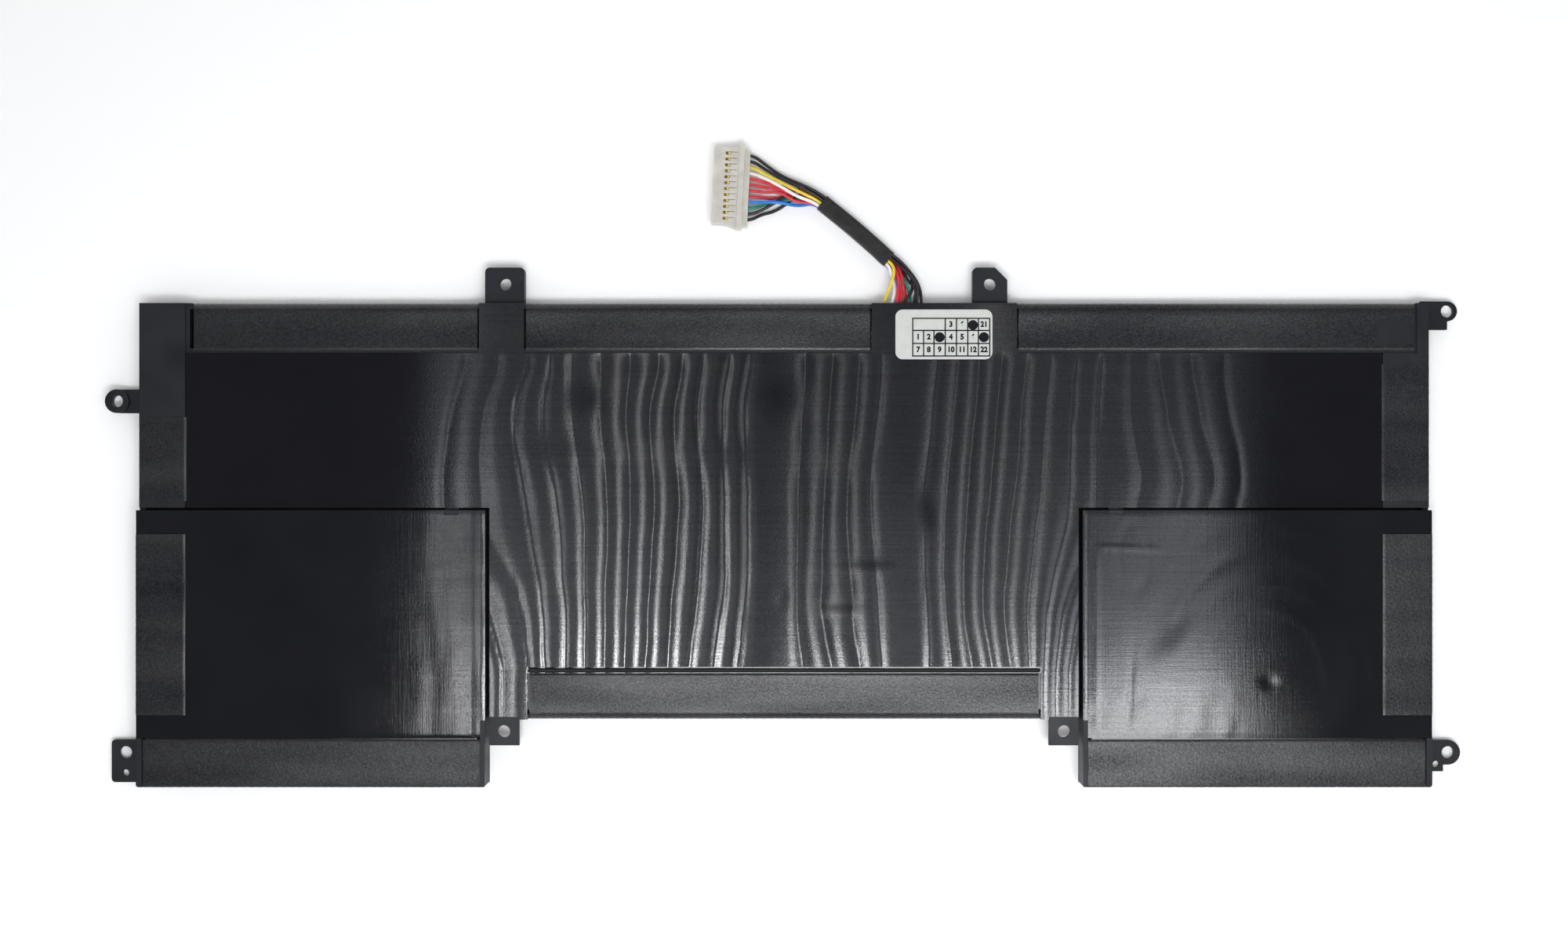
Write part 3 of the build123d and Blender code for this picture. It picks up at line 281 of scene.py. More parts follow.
# Wires of the lead, from the connector to the pack, millimetres
routes = {
    "wire_black_1": [
        (-8.07, 78.44, 1.7), (-6.37, 78.36, 1.7), (-3.72, 76.24, 1.82), (-0.27, 73.79, 1.92),
        (4.33, 71.91, 2.34), (7.72, 70.15, 2.22), (9.88, 68.38, 2.22), (13.4, 65.56, 2.22),
        (16.92, 62.6, 2.22), (20.14, 59.75, 2.22), (22.32, 57.69, 2.22), (24.73, 55.85, 2.4),
        (27.6, 52.45, 2.62), (28.75, 49.9, 2.86), (28.95, 47.25, 3.04), (28.92, 45.5, 3.13),
    ],
    "wire_black_2": [
        (-8.13, 77.2, 1.7), (-6.44, 77.11, 1.7), (-4.21, 75.53, 2.01), (-1.27, 73.68, 2.29),
        (3.57, 71.28, 3.28), (7.24, 69.59, 2.22), (9.4, 67.81, 2.22), (12.92, 65, 2.22),
        (16.43, 62.04, 2.22), (19.66, 59.19, 2.22), (21.84, 57.13, 2.22), (24.17, 55.21, 2.36),
        (26.9, 52.48, 3.32), (28.23, 50.13, 3.67), (27.96, 47.25, 3.37), (27.86, 45.5, 3.27),
    ],
    "wire_yellow": [
        (-8.19, 75.95, 1.7), (-6.5, 75.86, 1.7), (-4.21, 74.38, 2.09), (-1.4, 72.88, 2.47),
        (2.88, 70.62, 3.24), (6.75, 69.03, 2.22), (8.92, 67.25, 2.22), (12.44, 64.44, 2.22),
        (15.95, 61.48, 2.22), (19.17, 58.63, 2.22), (21.36, 56.57, 2.22), (23.27, 54.9, 2.35),
        (23.02, 52.33, 3.43), (22.01, 49.57, 3.18), (21.04, 47.25, 3.19), (20.96, 45.5, 3.2),
    ],
    "wire_white": [
        (-8.26, 74.7, 1.7), (-6.56, 74.62, 1.7), (-4.17, 73.5, 2.3), (-1.23, 71.98, 2.81),
        (2.76, 69.41, 3.44), (6.27, 68.47, 2.22), (8.43, 66.69, 2.22), (11.95, 63.88, 2.22),
        (15.47, 60.91, 2.22), (18.69, 58.07, 2.22), (20.88, 56.01, 2.22), (22.39, 54.58, 2.31),
        (23.11, 51.93, 2.23), (23.4, 49.57, 2.74), (22.77, 47.26, 3.11), (22.55, 45.53, 3.33),
    ],
    "wire_red_1": [
        (-8.32, 73.45, 1.7), (-6.62, 73.37, 1.7), (-4.49, 72.73, 1.73), (-1.35, 71.97, 2.03),
        (3.13, 70.76, 2.38), (7.24, 69.59, 1.48), (9.4, 67.81, 1.48), (12.92, 65, 1.48),
        (16.43, 62.04, 1.48), (19.66, 59.19, 1.48), (21.84, 57.13, 1.48), (24.12, 55.37, 1.46),
        (24.91, 52.23, 2.48), (25.25, 49.74, 2.75), (25.29, 47.17, 2.91), (25.22, 45.45, 3.22),
    ],
    "wire_red_2": [
        (-8.38, 72.2, 1.7), (-6.68, 72.12, 1.7), (-4.14, 71.6, 1.89), (-1.14, 71.18, 2.38),
        (2.71, 69.72, 2.31), (6.75, 69.03, 1.48), (8.92, 67.25, 1.48), (12.44, 64.44, 1.48),
        (15.95, 61.48, 1.48), (19.17, 58.63, 1.48), (21.36, 56.57, 1.48), (23.38, 54.87, 1.5),
        (24.22, 52.34, 2.9), (24.05, 49.79, 3.24), (23.8, 47.28, 3.42), (23.95, 45.51, 3.44),
    ],
    "wire_red_3": [
        (-8.44, 70.95, 1.7), (-6.74, 70.87, 1.7), (-4.14, 70.52, 2.14), (-0.71, 70.51, 2.74),
        (2.38, 68.37, 2.43), (6.27, 68.47, 1.48), (8.43, 66.69, 1.48), (11.95, 63.88, 1.48),
        (15.47, 60.91, 1.48), (18.69, 58.07, 1.48), (20.88, 56.01, 1.48), (22.92, 54.08, 1.48),
        (24.15, 51.79, 2.02), (24.49, 49.74, 2.52), (24.53, 47.39, 3.12), (24.48, 45.56, 2.87),
    ],
    "wire_red_4": [
        (-8.5, 69.7, 1.7), (-6.8, 69.62, 1.7), (-4.9, 69.42, 1.6), (-2.1, 69.4, 0.45),
        (2.73, 70.32, 1.24), (7.24, 69.59, 0.74), (9.4, 67.81, 0.74), (12.92, 65, 0.74),
        (16.43, 62.04, 0.74), (19.66, 59.19, 0.74), (21.84, 57.13, 0.74), (24.45, 54.85, 0.56),
        (25.44, 51.85, 0.73), (25.53, 49.59, 1.92), (25.98, 47.25, 2.53), (25.82, 45.5, 2.75),
    ],
    "wire_blue": [
        (-8.56, 68.46, 1.7), (-6.86, 68.37, 1.7), (-4.18, 68.4, 2.44), (-0.48, 68.3, 2.74),
        (2.9, 67.65, 1.22), (6.27, 68.47, 0.74), (8.43, 66.69, 0.74), (11.95, 63.88, 0.74),
        (15.47, 60.91, 0.74), (18.69, 58.07, 0.74), (20.88, 56.01, 0.74), (22.72, 54.23, 0.62),
        (24.09, 51.5, 1), (24.29, 49.2, 1.6), (23.7, 47.1, 2.6), (23.33, 45.59, 2.88),
    ],
    "wire_green": [
        (-8.62, 67.21, 1.7), (-6.92, 67.12, 1.7), (-5, 67.78, 0.8), (-1.91, 68.82, 0.76),
        (2.25, 69.27, 1.25), (6.75, 69.03, 0.74), (8.92, 67.25, 0.74), (12.44, 64.44, 0.74),
        (15.95, 61.48, 0.74), (19.17, 58.63, 0.74), (21.36, 56.57, 0.74), (23.66, 54.45, 0.67),
        (25.73, 51.46, 2.12), (26.66, 48.94, 1.83), (26.68, 47.23, 2.57), (26.61, 45.48, 2.74),
    ],
    "wire_black_3": [
        (-8.68, 65.96, 1.7), (-6.98, 65.88, 1.7), (-4.82, 66.72, 1.73), (-1.95, 68.25, 1.95),
        (3.57, 71.92, 1.36), (7.72, 70.15, 1.48), (9.88, 68.38, 1.48), (13.4, 65.56, 1.48),
        (16.92, 62.6, 1.48), (20.14, 59.75, 1.48), (22.32, 57.69, 1.48), (25.55, 55.33, 1.63),
        (27.32, 51.87, 1.54), (26.91, 49.14, 2.7), (25.08, 47.33, 3.94), (24.59, 45.53, 3.96),
    ],
    "wire_black_4": [
        (-8.74, 64.71, 1.7), (-7.05, 64.63, 1.7), (-4.8, 66, 1.02), (-1.52, 66.77, 0.46),
        (4.04, 71.01, 0.36), (7.72, 70.15, 0.74), (9.88, 68.38, 0.74), (13.4, 65.56, 0.74),
        (16.92, 62.6, 0.74), (20.14, 59.75, 0.74), (22.32, 57.69, 0.74), (24.66, 55.82, 0.6),
        (25.92, 51.83, 2.62), (28, 50.04, 3.02), (27.35, 47.25, 2.64), (27.42, 45.5, 2.64),
    ],
}
wire_diameter = 0.68
for name, points in routes.items():
    curve = bpy.data.curves.new(name + "_line", "CURVE")
    curve.dimensions = "3D"
    curve.resolution_u = 10
    curve.bevel_depth = wire_diameter / 2 * MM
    curve.bevel_resolution = 3
    curve.use_fill_caps = True
    spline = curve.splines.new("NURBS")
    way = [Vector(p) * MM for p in reversed(points)]
    spline.points.add(len(way) - 1)
    for target, p in zip(spline.points, way):
        target.co = (*p, 1.0)
    spline.order_u = 3
    spline.use_endpoint_u = True
    wire = link(bpy.data.objects.new(name + "_cord", curve))
    curve.materials.append(wire_mats[name.split("_")[1]])
    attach(wire, "root")
    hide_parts(name)
    bare = curve.copy()
    bare.bevel_depth = 0.0
    probe = link(bpy.data.objects.new("probe", bare))
    line = bpy.data.meshes.new_from_object(probe)
    bpy.data.objects.remove(probe)
    bpy.data.meshes.remove(line)
    bpy.data.curves.remove(bare)


# Rippled films
def smooth(low, high, value):
    """Soft step from 0 at low to 1 at high."""
    t = min(max((value - low) / (high - low), 0.0), 1.0)
    return t * t * (3 - 2 * t)


def wavy(x, y, size, seed):
    """Fixed noise with lumps of one size, millimetres; each seed is another layer."""
    return noise.noise(Vector((x / size, y / size, seed)))


def film(name, rects, low, top, lift, step, mat, node):
    """Sheet over a union of rectangles (x0, x1, y0, y1), millimetres.

    The top is a fine grid lifted by lift(x, y), with side walls down to low."""
    def lines(first, last, edges, gap):
        count = max(1, round((last - first) / gap))
        marks = [first + (last - first) * i / count for i in range(count + 1)]
        marks = [m for m in marks if min(abs(m - e) for e in edges) > 0.35 * gap]
        return sorted(set(marks) | set(edges))

    x_edges = sorted({v for r in rects for v in r[:2]})
    y_edges = sorted({v for r in rects for v in r[2:]})
    xs = lines(x_edges[0], x_edges[-1], x_edges, step[0])
    ys = lines(y_edges[0], y_edges[-1], y_edges, step[1])
    mesh = bpy.data.meshes.new(name)
    bm = bmesh.new()
    grid = {}

    def point(i, j):
        if (i, j) not in grid:
            x, y = xs[i], ys[j]
            grid[i, j] = bm.verts.new((x * MM, y * MM, (top + lift(x, y)) * MM))
        return grid[i, j]

    for i in range(len(xs) - 1):
        for j in range(len(ys) - 1):
            x, y = (xs[i] + xs[i + 1]) / 2, (ys[j] + ys[j + 1]) / 2
            if any(r[0] < x < r[1] and r[2] < y < r[3] for r in rects):
                corners = (point(i, j), point(i + 1, j), point(i + 1, j + 1), point(i, j + 1))
                bm.faces.new(corners).smooth = True
    rim = [e for e in bm.edges if len(e.link_faces) == 1]
    foot = {}
    for edge in rim:
        for v in edge.verts:
            if v not in foot:
                foot[v] = bm.verts.new((v.co.x, v.co.y, low * MM))
    for edge in rim:
        loop = edge.link_loops[0]
        a, b = loop.vert, loop.link_loop_next.vert
        wall = bm.faces.new((b, a, foot[a], foot[b]))
        wall.smooth = False
        edge.smooth = False
    for edge in bm.edges:
        if len(edge.link_faces) == 2 and edge.calc_face_angle() > 0.5:
            edge.smooth = False
    bm.to_mesh(mesh)
    bm.free()
    mesh.materials.append(mat)
    obj = link(bpy.data.objects.new(name, mesh))
    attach(obj, "root")
    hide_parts(node)


# How the films mirror the lights overhead: shift in millimetres for each millimetre, and for a slope of one
MIRROR_SCALE = 2.217
MIRROR_REACH = 840
SOFT_LEFT, SOFT_RIGHT = -162, 211
LEFT_EDGE_LIGHT = -150
SPARE_SLOPE = 0.012
LEAST_SLOPE = 0.016
WIDEST_SCALLOP = 6.0

# Lines of light on the upper film: the x of each at five heights, millimetres
ripple_heights = (34.1, 23.3, 4.6, -16.0, -29.6)
ripples = (
    (-68.8, -71.1, -72.8, -67.3, -63.2),
    (-64.2, -66.7, -67.8, -62.7, -59.1),
    (-58.8, -61.3, -60.9, -55.4, -53.2),
    (-53.7, -56.8, -54.5, -51.2, -50.6),
    (-49.6, -50.9, -48.6, -46.8, -46.5),
    (-45.7, -45.7, -43.2, -43.0, -42.9),
    (-40.1, -40.2, -38.6, -38.8, -38.9),
    (-34.8, -35.3, -34.7, -35.0, -35.3),
    (-29.2, -30.4, -29.7, -30.6, -31.2),
    (-24.3, -26.0, -25.5, -26.6, -27.3),
    (-20.0, -21.4, -20.5, -21.8, -22.7),
    (-15.9, -17.1, -16.1, -17.1, -18.9),
    (-10.7, -12.2, -11.7, -12.0, -13.8),
    (-6.6, -8.2, -7.4, -7.9, -9.2),
    (2.6, 2.0, 1.3, 1.5, 1.8),
    (7.7, 7.1, 6.4, 5.4, 7.4),
    (12.6, 11.7, 10.5, 10.8, 12.2),
    (17.4, 16.4, 14.8, 16.3, 17.4),
    (21.4, 20.4, 19.1, 20.7, 21.4),
    (31.2, 30.2, 28.7, 29.4, 29.7),
    (35.5, 34.5, 32.9, 32.9, 34.2),
    (39.4, 38.4, 36.8, 36.5, 37.9),
    (43.2, 42.2, 40.9, 39.9, 42.1),
    (47.6, 46.5, 44.8, 43.7, 45.3),
    (52.2, 51.1, 49.9, 48.1, 49.1),
    (57.0, 55.8, 54.7, 52.6, 52.6),
    (61.9, 60.9, 60.3, 56.2, 55.0),
    (66.9, 66.2, 65.7, 59.3, 57.3),
    (71.8, 71.9, 72.6, 62.4, 59.8),
    (76.7, 78.0, 79.7, 65.7, 62.4),
    (82.6, 83.9, 85.7, 70.6, 67.3),
    (87.4, 88.9, 90.3, 75.6, 72.3),
    (93.0, 94.1, 95.6, 80.5, 77.2),
)
# Number of each line, with one left out where the light changes from one strip to the next
ripple_count = [k + (k >= 14) + (k >= 19) for k in range(len(ripples))]
# First and last line of each group, the x of the light that it shows, and its least slope
far_groups = ((0, 2, -150.0, 0.040), (3, 13, -68.0, 0.072), (15, 19, 19.0, 0.055), (21, 29, 96.0, 0.055),
              (30, 34, 185.0, 0.045))
near_groups = ((0, 13, -68.0, 0.072), (15, 19, 19.0, 0.055), (21, 32, 96.0, 0.055), (33, 34, 185.0, 0.045))
# Calm spots among the scallops: middle and half widths
calm_spots = ((-40.7, 27.2, 5.0, 5.0), (1.0, 27.0, 5.0, 6.0), (30.0, 3.0, 2.5, 4.0), (11.0, -17.0, 4.5, 1.6),
              (18.0, -7.8, 6.0, 1.6))
rows_seen = {}


def ripple_row(y):
    """Places of the lines at one height, along smooth curves through the five heights."""
    if y not in rows_seen:
        at = min(max(y, ripple_heights[-1]), ripple_heights[0])
        k = min(sum(at < h for h in ripple_heights[1:]), len(ripple_heights) - 2)
        h0, h1 = ripple_heights[k], ripple_heights[k + 1]
        s = (at - h0) / (h1 - h0)
        row = []
        for line in ripples:
            lean = []
            for j in (k, k + 1):
                before, after = max(j - 1, 0), min(j + 1, len(line) - 1)
                rise = (line[after] - line[before]) / (ripple_heights[after] - ripple_heights[before])
                lean.append(rise * (h1 - h0))
            a, b = line[k], line[k + 1]
            square = 3 * (b - a) - 2 * lean[0] - lean[1]
            cube = 2 * (a - b) + lean[0] + lean[1]
            row.append(a + s * lean[0] + s * s * square + s ** 3 * cube)
        rows_seen[y] = row
    return rows_seen[y]


def bell(value, middle, width):
    """Smooth hump of height one."""
    return math.exp(-((value - middle) / width) ** 2)


def slope_place(slope, low, high):
    """Share of one scallop, from valley to valley, at which its slope has one value.

    The slope grows from -low to high."""
    if high >= low:
        return ((slope + low) / (low + high)) ** (low / high)
    return 1 - ((high - slope) / (low + high)) ** (high / low)


def scallop_height(share, low, high):
    """Height over the valleys, for a scallop of length 1."""
    if high >= low:
        return low * (share - share ** (high / low + 1))
    return high * ((1 - share) - (1 - share) ** (low / high + 1))


def scallop(groups, x, count, pitch):
    """Height of the scallop at one place: each shows its light where its line lies.

    A group begins and ends on a ridge. Slopes that face away from the middle stay small enough
    to show the soft light, not the dark beyond it."""
    for first, last, light, least in groups:
        need = (light - MIRROR_SCALE * x) / MIRROR_REACH
        low = high = max(least, abs(need) + SPARE_SLOPE)
        if x < 0:
            limit = (MIRROR_SCALE * x - SOFT_LEFT) / MIRROR_REACH
            low = min(low, max(limit, SPARE_SLOPE - need, LEAST_SLOPE))
        else:
            limit = (SOFT_RIGHT - MIRROR_SCALE * x) / MIRROR_REACH
            high = min(high, max(limit, SPARE_SLOPE + need, LEAST_SLOPE))
        ridge = slope_place(0.0, low, high)
        turn = count + slope_place(need, low, high) - ridge
        if first <= turn <= last:
            height = scallop_height((turn + ridge) % 1.0, low, high) - scallop_height(ridge, low, high)
            return min(pitch, WIDEST_SCALLOP) * height
    return 0.0


def upper_lift(x, y):
    """Scallops, weaker in places, with soft waves and a small pressed mark.

    The rims under the tapes lie lower."""
    row = ripple_row(y)
    j = min(max(bisect(row, x), 1), len(row) - 1)
    pitch = (row[j] - row[j - 1]) / (ripple_count[j] - ripple_count[j - 1])
    count = (ripple_count[j - 1] + (x - row[j - 1]) / pitch
             + 0.08 * wavy(x, y, 14, 3.1) + 0.05 * wavy(x, y, 5, 6.4))
    near = 1 - smooth(-16.0, -8.0, y)
    lift = (1 - near) * scallop(far_groups, x, count, pitch) + near * scallop(near_groups, x, count, pitch)
    lift *= 1 - smooth(35.5, 36.4, y)
    lift *= 1 - 0.5 * bell(y, 14.2 - 0.05 * x, 3.6) * smooth(-60.0, -54.0, x) * (1 - smooth(18.0, 23.0, x))
    for cx, cy, wide, tall in calm_spots:
        lift *= 1 - bell(x, cx, wide) * bell(y, cy, tall)
    lift += 0.03 * wavy(x, y, 34, 1.3) + 0.006 * wavy(x, y, 9, 5.5)
    lift -= 0.03 * bell(x, -0.5, 1.6) * bell(y, -14.6, 0.9)
    if abs(x) < 53.8:
        lift -= 0.15 * (1 - smooth(-30.25, -30.1, y))
    return lift - (0.2 * smooth(36.4, 36.55, y) if y < 36.99 else 0.0)


upper_rects = [
    (-125.4, 125.4, 4.0, 36.4), (-61.7, 61.7, -30.1, 4.0),
    (-61.7, -53.8, -39.8, -30.1), (53.8, 61.7, -39.8, -30.1),
    (-55.5, -53.8, -40.4, -39.8), (53.8, 55.5, -40.4, -39.8),
    (-63.9, -54.5, 36.4, 46.9), (18.4, 48.8, 36.4, 46.9),
    (-53.8, 53.8, -30.25, -30.1), (-53.8, 53.8, -30.68, -30.25),
]
film("upper_film", upper_rects, 4.6, 4.9, upper_lift, (0.28, 1.6), film_mat, "upper_cover")


# Leg films: how deep they lie, where they end, and the rings about the dent as (radius, height, width)
LEG_SINK = 0.1
LEG_NEAR, LEG_FAR = -44.1, 3.5
LEG_INNER, LEG_OUTER = 62.5, 135.4
EDGE_WIDTH, EDGE_DROP = 0.8, 0.06
dent_rings = ((28.5, 0.028, 1.5), (23.0, 0.060, 1.4), (18.5, 0.034, 1.1), (13.5, 0.020, 1.0))


def edge_fall(x, y, x0, x1):
    """Drop of a leg's film along its edges."""
    near = min(x - x0, x1 - x, y - LEG_NEAR, LEG_FAR - y)
    return -EDGE_DROP * (1 - smooth(0, EDGE_WIDTH, near))


def left_lift(x, y):
    """Soft waves, and a tilt along the inner edge that lets a band of light wander down it."""
    lift = 0.05 * wavy(x, y, 40, 2.2) + 0.02 * wavy(x, y, 14, 4.1) + 0.012 * wavy(x * 0.5, y, 5, 8.4)
    edge = smooth(-79, -72, x)
    band = -70.2 + 4.4 * smooth(-6.0, -26.0, y) - 1.6 * smooth(-28.0, -40.0, y) + 1.2 * wavy(0.0, y, 5, 2.9)
    inward = max(x + 75.0, 0.0)
    lift += inward * inward / (inward + 3.0) * (MIRROR_SCALE * band - LEFT_EDGE_LIGHT) / MIRROR_REACH
    crumple = 0.035 * wavy(x, y * 0.45, 6, 3.7) + 0.009 * wavy(x, y * 0.2, 2.6, 7.9)
    crumple += 0.02 * wavy(x * 0.3, y, 3.2, 1.7)
    lift += edge * crumple
    lift -= 0.03 * bell(x, -64.2, 0.35)
    return lift - LEG_SINK + edge_fall(x, y, -LEG_OUTER, -LEG_INNER)


def right_lift(x, y):
    """Soft waves, faint rings about a dent, creases, and short fingers along the near edge."""
    lift = 0.05 * wavy(x, y, 40, 6.2) + 0.012 * wavy(x, y, 13, 9.1)
    across, up = x - 100.5, y + 33.5
    away, turn = math.hypot(across, up / 1.2), math.atan2(up, across)
    arch = smooth(-0.3, 0.3, turn) * (1 - smooth(2.2, 2.8, turn))
    for radius, height, width in dent_rings:
        ring = bell(away + 0.8 * wavy(x, y, 14, radius), radius, width)
        lift += height * arch * ring * (0.7 + 0.6 * wavy(x, y, 9, 3.3))
    lift -= 0.05 * bell(x, 101.5, 1.6) * bell(y, -32.4, 1.3)
    lift -= 0.02 * bell(math.hypot(x - 73.0, (y + 6.5) / 2.2), 3.2, 0.8) * smooth(68.0, 72.5, x)
    lift -= 0.04 * bell(x, 72.2 + 0.05 * (y + 38), 0.6) * bell(y, -34.0, 9.0)
    lift += 0.045 * bell(y, -4.2 - 0.04 * (x - 66), 0.6) * smooth(64.5, 66.5, x) * (1 - smooth(74.0, 84.0, x))
    lift += 0.035 * bell(x, 65.3, 0.5) * (1 - smooth(-9.0, -5.0, y))
    fingers = (1 - smooth(-41.5, -30.0, y)) * (1 - smooth(92.0, 97.0, x))
    turns = (x - 0.27 * (y + 44.0) - 66.0) / 6.0 + 0.25 * wavy(x, y, 9, 4.4)
    lift += 0.010 * fingers * math.sin(2 * math.pi * turns)
    lift += 0.02 * fingers * wavy(x, y, 3.5, 2.6)
    return lift - LEG_SINK + edge_fall(x, y, LEG_INNER, LEG_OUTER)


left_rects = [
    (-LEG_OUTER, -71.05, LEG_NEAR, LEG_FAR), (-71.05, -68.05, LEG_NEAR, 2.5),
    (-68.05, -63.5, LEG_NEAR, LEG_FAR), (-63.5, -LEG_INNER, -40.4, LEG_FAR),
]
right_rects = [(-b, -a, c, d) for a, b, c, d in left_rects]
film("left_leg_film", left_rects, 5.7, LEG_TOP, left_lift, (0.6, 0.7), leg_mat, "left_leg_cover")
film("right_leg_film", right_rects, 5.7, LEG_TOP, right_lift, (0.5, 0.5), leg_mat, "right_leg_cover")


# Tapes that turn over an edge, with sag, soft waves, a toothed rim and, on most, a painted highlight on the
# lip along the inner edge
TOOTH_DEPTH = 0.07
TOOTH_PITCH = 1.7
LIP = 0.09


def wrapped_tape(node, axis, side, bend, waves, seed, sag=0.0, painted_edge_highlight=True):
    """Tape along axis (0 for x, 1 for y) that runs outward on side (+1 or -1) and turns down the wall."""
    low, high = ([v / MM for v in corner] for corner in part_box(node))
    start, end = low[axis], high[axis]
    inner, outer = (low[1 - axis], high[1 - axis]) if side > 0 else (high[1 - axis], low[1 - axis])
    foot, deck = low[2], high[2]
    flat = abs(outer - inner) - bend
    profile = []
    count = round(flat / 0.55)
    for k in range(count + 1):
        profile.append((inner + side * flat * k / count, deck, 0.0, 1.0, k / count, 0.0))
    for k in range(1, 9):
        a = k * math.pi / 16
        across = outer - side * bend * (1 - math.sin(a))
        height = deck - bend * (1 - math.cos(a))
        profile.append((across, height, side * math.sin(a), math.cos(a), 1.0, k / 8))
    for k in range(1, 6):
        profile.append((outer, deck - bend - (deck - bend - foot) * k / 5, side, 0.0, 1.0, 1.0))
    steps = round((end - start) / 0.42)
    mesh = bpy.data.meshes.new(node + "_wrapped")
    bm = bmesh.new()

    def place(along, across, z):
        x, y = (along, across) if axis == 0 else (across, along)
        return x * MM, y * MM, z * MM

    rows = []
    for i in range(steps + 1):
        along = start + (end - start) * i / steps
        row = []
        for u, z, nu, nz, share, turned in profile:
            hollow = math.sin(math.pi * min(share * 1.08, 1.0))
            dent = sag * hollow * (0.75 + 0.5 * wavy(along, u, 16, seed + 5.1))
            dent += waves * (0.5 + 0.5 * wavy(along * 0.6, u * 1.8, 7, seed)) * (1 - 0.5 * turned)
            tooth = abs(2 * ((along / TOOTH_PITCH) % 1.0) - 1)
            dent += TOOTH_DEPTH * turned * tooth * (0.6 + 0.4 * wavy(along, 0.0, 3.0, seed + 2.0))
            row.append(bm.verts.new(place(along, u - nu * dent, z - nz * dent)))
        rows.append(row)
    flip = (axis == 0) == (side > 0)
    for i in range(steps):
        for j in range(len(profile) - 1):
            ring = (rows[i][j], rows[i + 1][j], rows[i + 1][j + 1], rows[i][j + 1])
            bm.faces.new(ring if flip else ring[::-1]).smooth = True
    lip = Vector(place(0.0, side * LIP, LIP))
    lips = [bm.verts.new(row[0].co - lip) for row in rows]
    for i in range(steps):
        ring = (rows[i + 1][0], rows[i][0], lips[i], lips[i + 1])
        face = bm.faces.new(ring if flip else ring[::-1])
        # The lip faces along the inner edge take the painted highlight material, or the plain tape material
        # where that is switched off.
        face.material_index = 1 if painted_edge_highlight else 0
    bmesh.ops.recalc_face_normals(bm, faces=bm.faces)
    bm.to_mesh(mesh)
    bm.free()
    mesh.materials.append(tape_mat)
    mesh.materials.append(painted_highlight_mat)
    obj = link(bpy.data.objects.new(node + "_wrapped", mesh))
    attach(obj, "root")
    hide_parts(node)


for k, node in enumerate(("top_left_tape", "top_centre_tape", "top_right_tape")):
    wrapped_tape(node, 0, 1, 1.7, waves=0.07, seed=11.0 + 3 * k, sag=0.16)
wrapped_tape("stem_tape", 0, -1, 1.7, waves=0.06, seed=21.0, sag=0.05, painted_edge_highlight=False)
wrapped_tape("left_leg_end_tape", 0, -1, 0.4, waves=0.06, seed=24.0)
wrapped_tape("right_leg_end_tape", 0, -1, 0.4, waves=0.06, seed=27.0)
wrapped_tape("left_band_tape", 1, -1, 0.3, waves=0.05, seed=30.0)
wrapped_tape("right_band_tape", 1, 1, 0.3, waves=0.05, seed=33.0)
wrapped_tape("left_leg_tape", 1, -1, 0.3, waves=0.05, seed=36.0)
wrapped_tape("right_leg_tape", 1, 1, 0.3, waves=0.05, seed=39.0)


# Printed grid, dots and plain numbers on the label
LABEL_SCALE = 0.16421
LINE_WIDTH = 0.27
DOT_RADIUS = 1.05
DOT_SIDES = 32
NUMBER_RAISE = 0.006


def label_point(px, py):
    """Millimetres on the label for a place in the camera's picture."""
    return (px - PICTURE_WIDTH / 2) * LABEL_SCALE, (PICTURE_HEIGHT / 2 - py) * LABEL_SCALE + CAMERA_Y


ink = bmesh.new()
ink_low, ink_top = 5.0, 5.012


def ink_box(x0, x1, y0, y1):
    outline = ((x0, y0), (x1, y0), (x1, y1), (x0, y1))
    corners = [ink.verts.new((x * MM, y * MM, z * MM)) for z in (ink_low, ink_top) for x, y in outline]
    for f in ((4, 5, 6, 7), (0, 1, 5, 4), (1, 2, 6, 5), (2, 3, 7, 6), (3, 0, 4, 7)):
        ink.faces.new([corners[k] for k in f])


def ink_line(a, b):
    (x0, y0), (x1, y1) = label_point(*a), label_point(*b)
    half = LINE_WIDTH / 2
    ink_box(min(x0, x1) - half, max(x0, x1) + half, min(y0, y1) - half, max(y0, y1) + half)


row_lines = (406.0, 421.4, 438.0, 454.0)
column_lines = (1164.2, 1178.0, 1191.3, 1205.7, 1220.0, 1234.4, 1248.0, 1262.4)
for py in row_lines:
    ink_line((column_lines[0], py), (column_lines[-1], py))
for k, px in enumerate(column_lines):
    ink_line((px, row_lines[1 if k in (1, 2) else 0]), (px, row_lines[-1]))
for px, py in ((1241.0, 414.5), (1198.5, 430.0), (1255.0, 430.0)):
    cx, cy = label_point(px, py)
    angles = [2 * math.pi * k / DOT_SIDES for k in range(DOT_SIDES)]
    outline = [(cx + DOT_RADIUS * math.cos(a), cy + DOT_RADIUS * math.sin(a)) for a in angles]
    low_rim = [ink.verts.new((x * MM, y * MM, ink_low * MM)) for x, y in outline]
    top_rim = [ink.verts.new((x * MM, y * MM, ink_top * MM)) for x, y in outline]
    ink.faces.new(top_rim)
    for k in range(DOT_SIDES):
        after = (k + 1) % DOT_SIDES
        ink.faces.new((low_rim[k], low_rim[after], top_rim[after], top_rim[k]))
